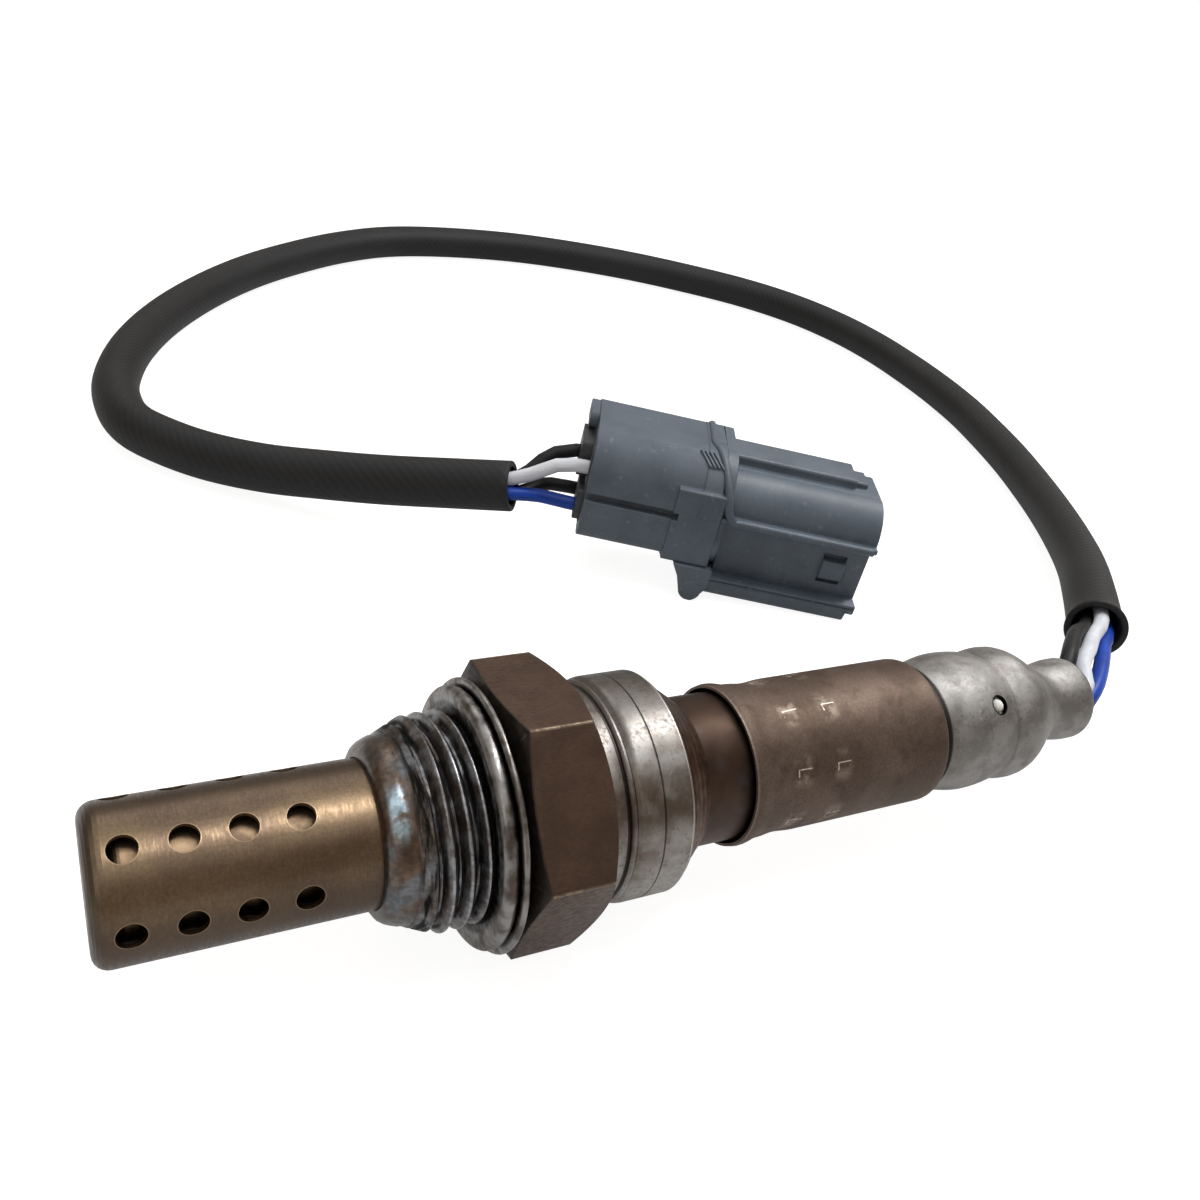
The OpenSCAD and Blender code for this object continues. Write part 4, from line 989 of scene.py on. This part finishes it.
# %% A tube along a smooth line
def smooth_route(points, step_mm):
    """Catmull-Rom curve through the points, sampled about every step."""
    ends = [points[0] * 2 - points[1]] + points + [points[-1] * 2 - points[-2]]
    line = []
    for a, b, c, d in zip(ends, ends[1:], ends[2:], ends[3:]):
        steps = max(1, round((c - b).length / step_mm))
        for k in range(steps):
            t = k / steps
            line.append(0.5 * (2 * b + (c - a) * t + (2 * a - 5 * b + 4 * c - d) * t * t
                               + (3 * b - a - 3 * c + d) * t ** 3))
    return line + [points[-1]]


def run_of(line):
    """Length of a line in metres."""
    return sum((b - a).length for a, b in zip(line, line[1:])) * MM


def tube(name, line, sides, radius, mouth, bore=None, flare=(0.0, 1.0)):
    """Mesh along a line in millimetres. The mouth is (radius, offset) rings at each end, a
    bore makes it hollow, and a flare widens its start by so much over such a length."""
    ahead = (line[1] - line[0]).normalized()
    side = ahead.cross(Vector((0, 0, 1))).normalized()
    frames, travelled = [], 0.0
    for i, point in enumerate(line):
        ahead = (line[min(i + 1, len(line) - 1)] - line[max(i - 1, 0)]).normalized()
        side = (side - ahead * side.dot(ahead)).normalized()
        travelled += (point - line[i - 1]).length if i else 0
        frames.append((point, ahead, side, side.cross(ahead), travelled))
    last = len(frames) - 1
    stations = [(0, r, shift) for r, shift in mouth]
    stations += [(i, radius, 0.0) for i in range(1, last)]
    stations += [(last, r, -shift) for r, shift in reversed(mouth)]
    if bore:
        stations += [(i, bore, 0.0) for i in range(last - 1, 0, -1)]
    shape = bmesh.new()
    uv = shape.loops.layers.uv.new("along_and_round")
    turns = [2 * math.pi * k / sides for k in range(sides)]
    rings, reach = [], []
    for i, r, shift in stations:
        point, ahead, side, up, run = frames[i]
        r += flare[0] * max(0.0, 1 - run / flare[1]) ** 2
        centre = point + ahead * shift
        rings.append([shape.verts.new((centre + r * (math.cos(a) * side + math.sin(a) * up)) * MM)
                      for a in turns])
        reach.append(run + shift)
    order = list(range(len(rings))) + ([0] if bore else [])
    for a, b in zip(order, order[1:]):
        for k in range(sides):
            n = (k + 1) % sides
            face = shape.faces.new((rings[a][k], rings[b][k], rings[b][n], rings[a][n]))
            for loop, (ring, step) in zip(face.loops, ((a, k), (b, k), (b, k + 1), (a, k + 1))):
                loop[uv].uv = (reach[ring] * MM, step / sides)
    if not bore:
        shape.faces.new(rings[0])
        shape.faces.new(rings[-1][::-1])
    bmesh.ops.recalc_face_normals(shape, faces=shape.faces)
    mesh = bpy.data.meshes.new(name)
    shape.to_mesh(mesh)
    shape.free()
    made = bpy.data.objects.new(name, mesh)
    scene.collection.objects.link(made)
    activate(made)
    bpy.ops.object.shade_smooth_by_angle(angle=math.radians(50))
    return made


print("tube maker ready")

# %% [markdown]
# The insulation is extruded plastic: an even colour, a soft gloss, and faint scuffs of
# about 4 mm along the wire by a fifth of a turn. Each wire is a free cord that leaves the
# cap's tail and ends in the plug, and its length is printed.

# %% Insulated wires
SCUFF_ALONG, SCUFF_ROUND = 260.0, 5.0


def insulation(name, base, shade, roughness):
    """Extruded insulation: nearly even colour, faint scuffs along the wire."""
    finish, skin = new_finish(name, Roughness=roughness, IOR=1.5, Specular_IOR_Level=0.3)
    tree = skin.id_data
    uv = node(tree, "ShaderNodeUVMap", uv_map="along_and_round")
    scuffs = node(tree, "ShaderNodeMapping",
                  {"Vector": uv, "Scale": (SCUFF_ALONG, SCUFF_ROUND, 1.0)})
    noise = node(tree, "ShaderNodeTexNoise", {"Vector": scuffs, "Scale": 1.0, "Detail": 4.0})
    soft = band(noise.outputs["Fac"], 0.35, 0.7)
    lay_on(skin, coat(base, shade, soft), None, soft, 0.01, 0.25)
    return finish


BLACK = insulation("black_insulation", "0b0c0e", "141517", 0.55)
FINISHES = {
    "wire_black_a": (BLACK, "black_insulation"),
    "wire_white": (insulation("white_insulation", "e4e6ec", "cfd3dc", 0.4), "white_insulation"),
    "wire_blue": (insulation("blue_insulation", "1746b0", "123a94", 0.4), "blue_insulation"),
    "wire_black_b": (BLACK, "black_insulation")}
for name, facts in WIRES.items():
    line = smooth_route(wire_route(**facts), 2.0)
    wire = tube("lead_" + name, line, 16, WIRE_R, [(WIRE_R, 0.0)])
    wear(wire, *FINISHES[name])
    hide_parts(name)
    print(name, round(run_of(line) * 1000), "mm")

# %% [markdown]
# A half-round bead runs over the plug's flange, turns round its shoulder and goes on along
# the ledge to the front. It stiffens the shroud and is the brightest line on the plug. It
# is a swept line, so it is a tube too, half sunk in the wall, in the plug's own frame.

# %% The bead on the plug
BEAD_R, BEAD_TURN_R, BEAD_X, BEAD_END = 0.55, 7.35, -3.2, 20.3
FLANGE_Y, FLANGE_Z = 0.2, 1.6
bead_line = [(BEAD_X, y, z) for y, z in ((8.2, 8.2), (7.2, 8.85), (5.0, 8.95), (2.4, 8.95))]
bead_line += [(BEAD_X + 3.4 * (i / 9) ** 0.8,
               FLANGE_Y - BEAD_TURN_R * math.sin(math.radians(10 * i)),
               FLANGE_Z + BEAD_TURN_R * math.cos(math.radians(10 * i))) for i in range(9)]
bead_line += [(x, -6.9, FLANGE_Z) for x in (0.9, 2.0, 8.0, BEAD_END)]
bead = tube("plug_bead", smooth_route([in_plug(p) for p in bead_line], 0.6), 20, BEAD_R,
            [(BEAD_R - 0.2, 0.0), (BEAD_R, 0.18)])
wear(bead, nylon, "plug_plastic")
print("plug bead:", len(bead.data.polygons), "faces")

# %% [markdown]
# The flange ends below in a foot, on which the plug rests. The solid's foot is tapered;
# its end is round, which is a short cylinder with a soft rim, made upright in the plug's
# own frame and then placed as the plug is.

# %% The round foot of the plug
FOOT_R, FOOT_X, FOOT_Z, FOOT_FRONT, FOOT_BACK = 1.55, -2.2, -9.35, -7.7, -1.1
start_clean()
bpy.ops.mesh.primitive_cylinder_add(
    vertices=48, radius=FOOT_R * MM, depth=(FOOT_BACK - FOOT_FRONT) * MM,
    location=Vector((FOOT_X, (FOOT_FRONT + FOOT_BACK) / 2, FOOT_Z)) * MM,
    rotation=(math.pi / 2, 0, 0))
foot = bpy.context.object
foot.name = "plug_foot"
bpy.ops.object.transform_apply(location=True, rotation=True, scale=True)
soften(foot, 0.3, 3, 60)
foot.matrix_world = Matrix.Translation(PLUG_AT * MM) @ PLUG_TURN.to_4x4()
settle(foot)
wear(foot, nylon, "plug_plastic")
print("plug foot:", len(foot.data.polygons), "faces")

# %% [markdown]
# ## The sleeve
# A woven glass sleeve, coated black, keeps the wires off hot metal. It is a hollow tube
# with rounded mouths; the one at the sensor is worn a little wide. The coating fills the
# weave, so only a faint diagonal rib is left, drawn at 1 mm, coarser than the real one, so
# that it shows. The tube's own coordinates are stretched to millimetres both ways, so that
# the rib keeps its slant round every bend.

# %% Black sleeve
MOUTH = [(SLEEVE_BORE, 0.25), (SLEEVE_BORE + 0.1, 0.06), (SLEEVE_BORE + 0.25, 0.0),
         (SLEEVE_R - 0.22, 0.0), (SLEEVE_R - 0.08, 0.05), (SLEEVE_R, 0.22)]
ROUND_MM, RIB_SCALE, CLOUD_SCALE = 21.4, 0.45, 0.06
line = smooth_route(SLEEVE_ROUTE, 1.2)
sleeve = tube("woven_sleeve", line, 48, SLEEVE_R, MOUTH, bore=SLEEVE_BORE, flare=(0.42, 5.0))
coated, skin = new_finish("coated_woven_sleeve", Roughness=0.62, IOR=1.5, Specular_IOR_Level=0.35)
tree = skin.id_data
uv = node(tree, "ShaderNodeUVMap", uv_map="along_and_round")
cloth = node(tree, "ShaderNodeMapping", {"Vector": uv, "Scale": (1000.0, ROUND_MM, 1.0)})
rib = node(tree, "ShaderNodeTexWave", {"Vector": cloth, "Scale": RIB_SCALE},
           bands_direction="DIAGONAL").outputs["Fac"]
noise = node(tree, "ShaderNodeTexNoise", {"Vector": cloth, "Scale": CLOUD_SCALE, "Detail": 4.0})
hue = coat("0e0e0f", "161617", band(noise.outputs["Fac"], 0.35, 0.65))
hue = coat(hue, "272729", rib, 0.25)
lay_on(skin, hue, None, rib, 0.03, 0.5)
wear(sleeve, coated, "sleeve_rubber")
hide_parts("harness_sleeve")
print("sleeve", round(run_of(line) * 1000), "mm")
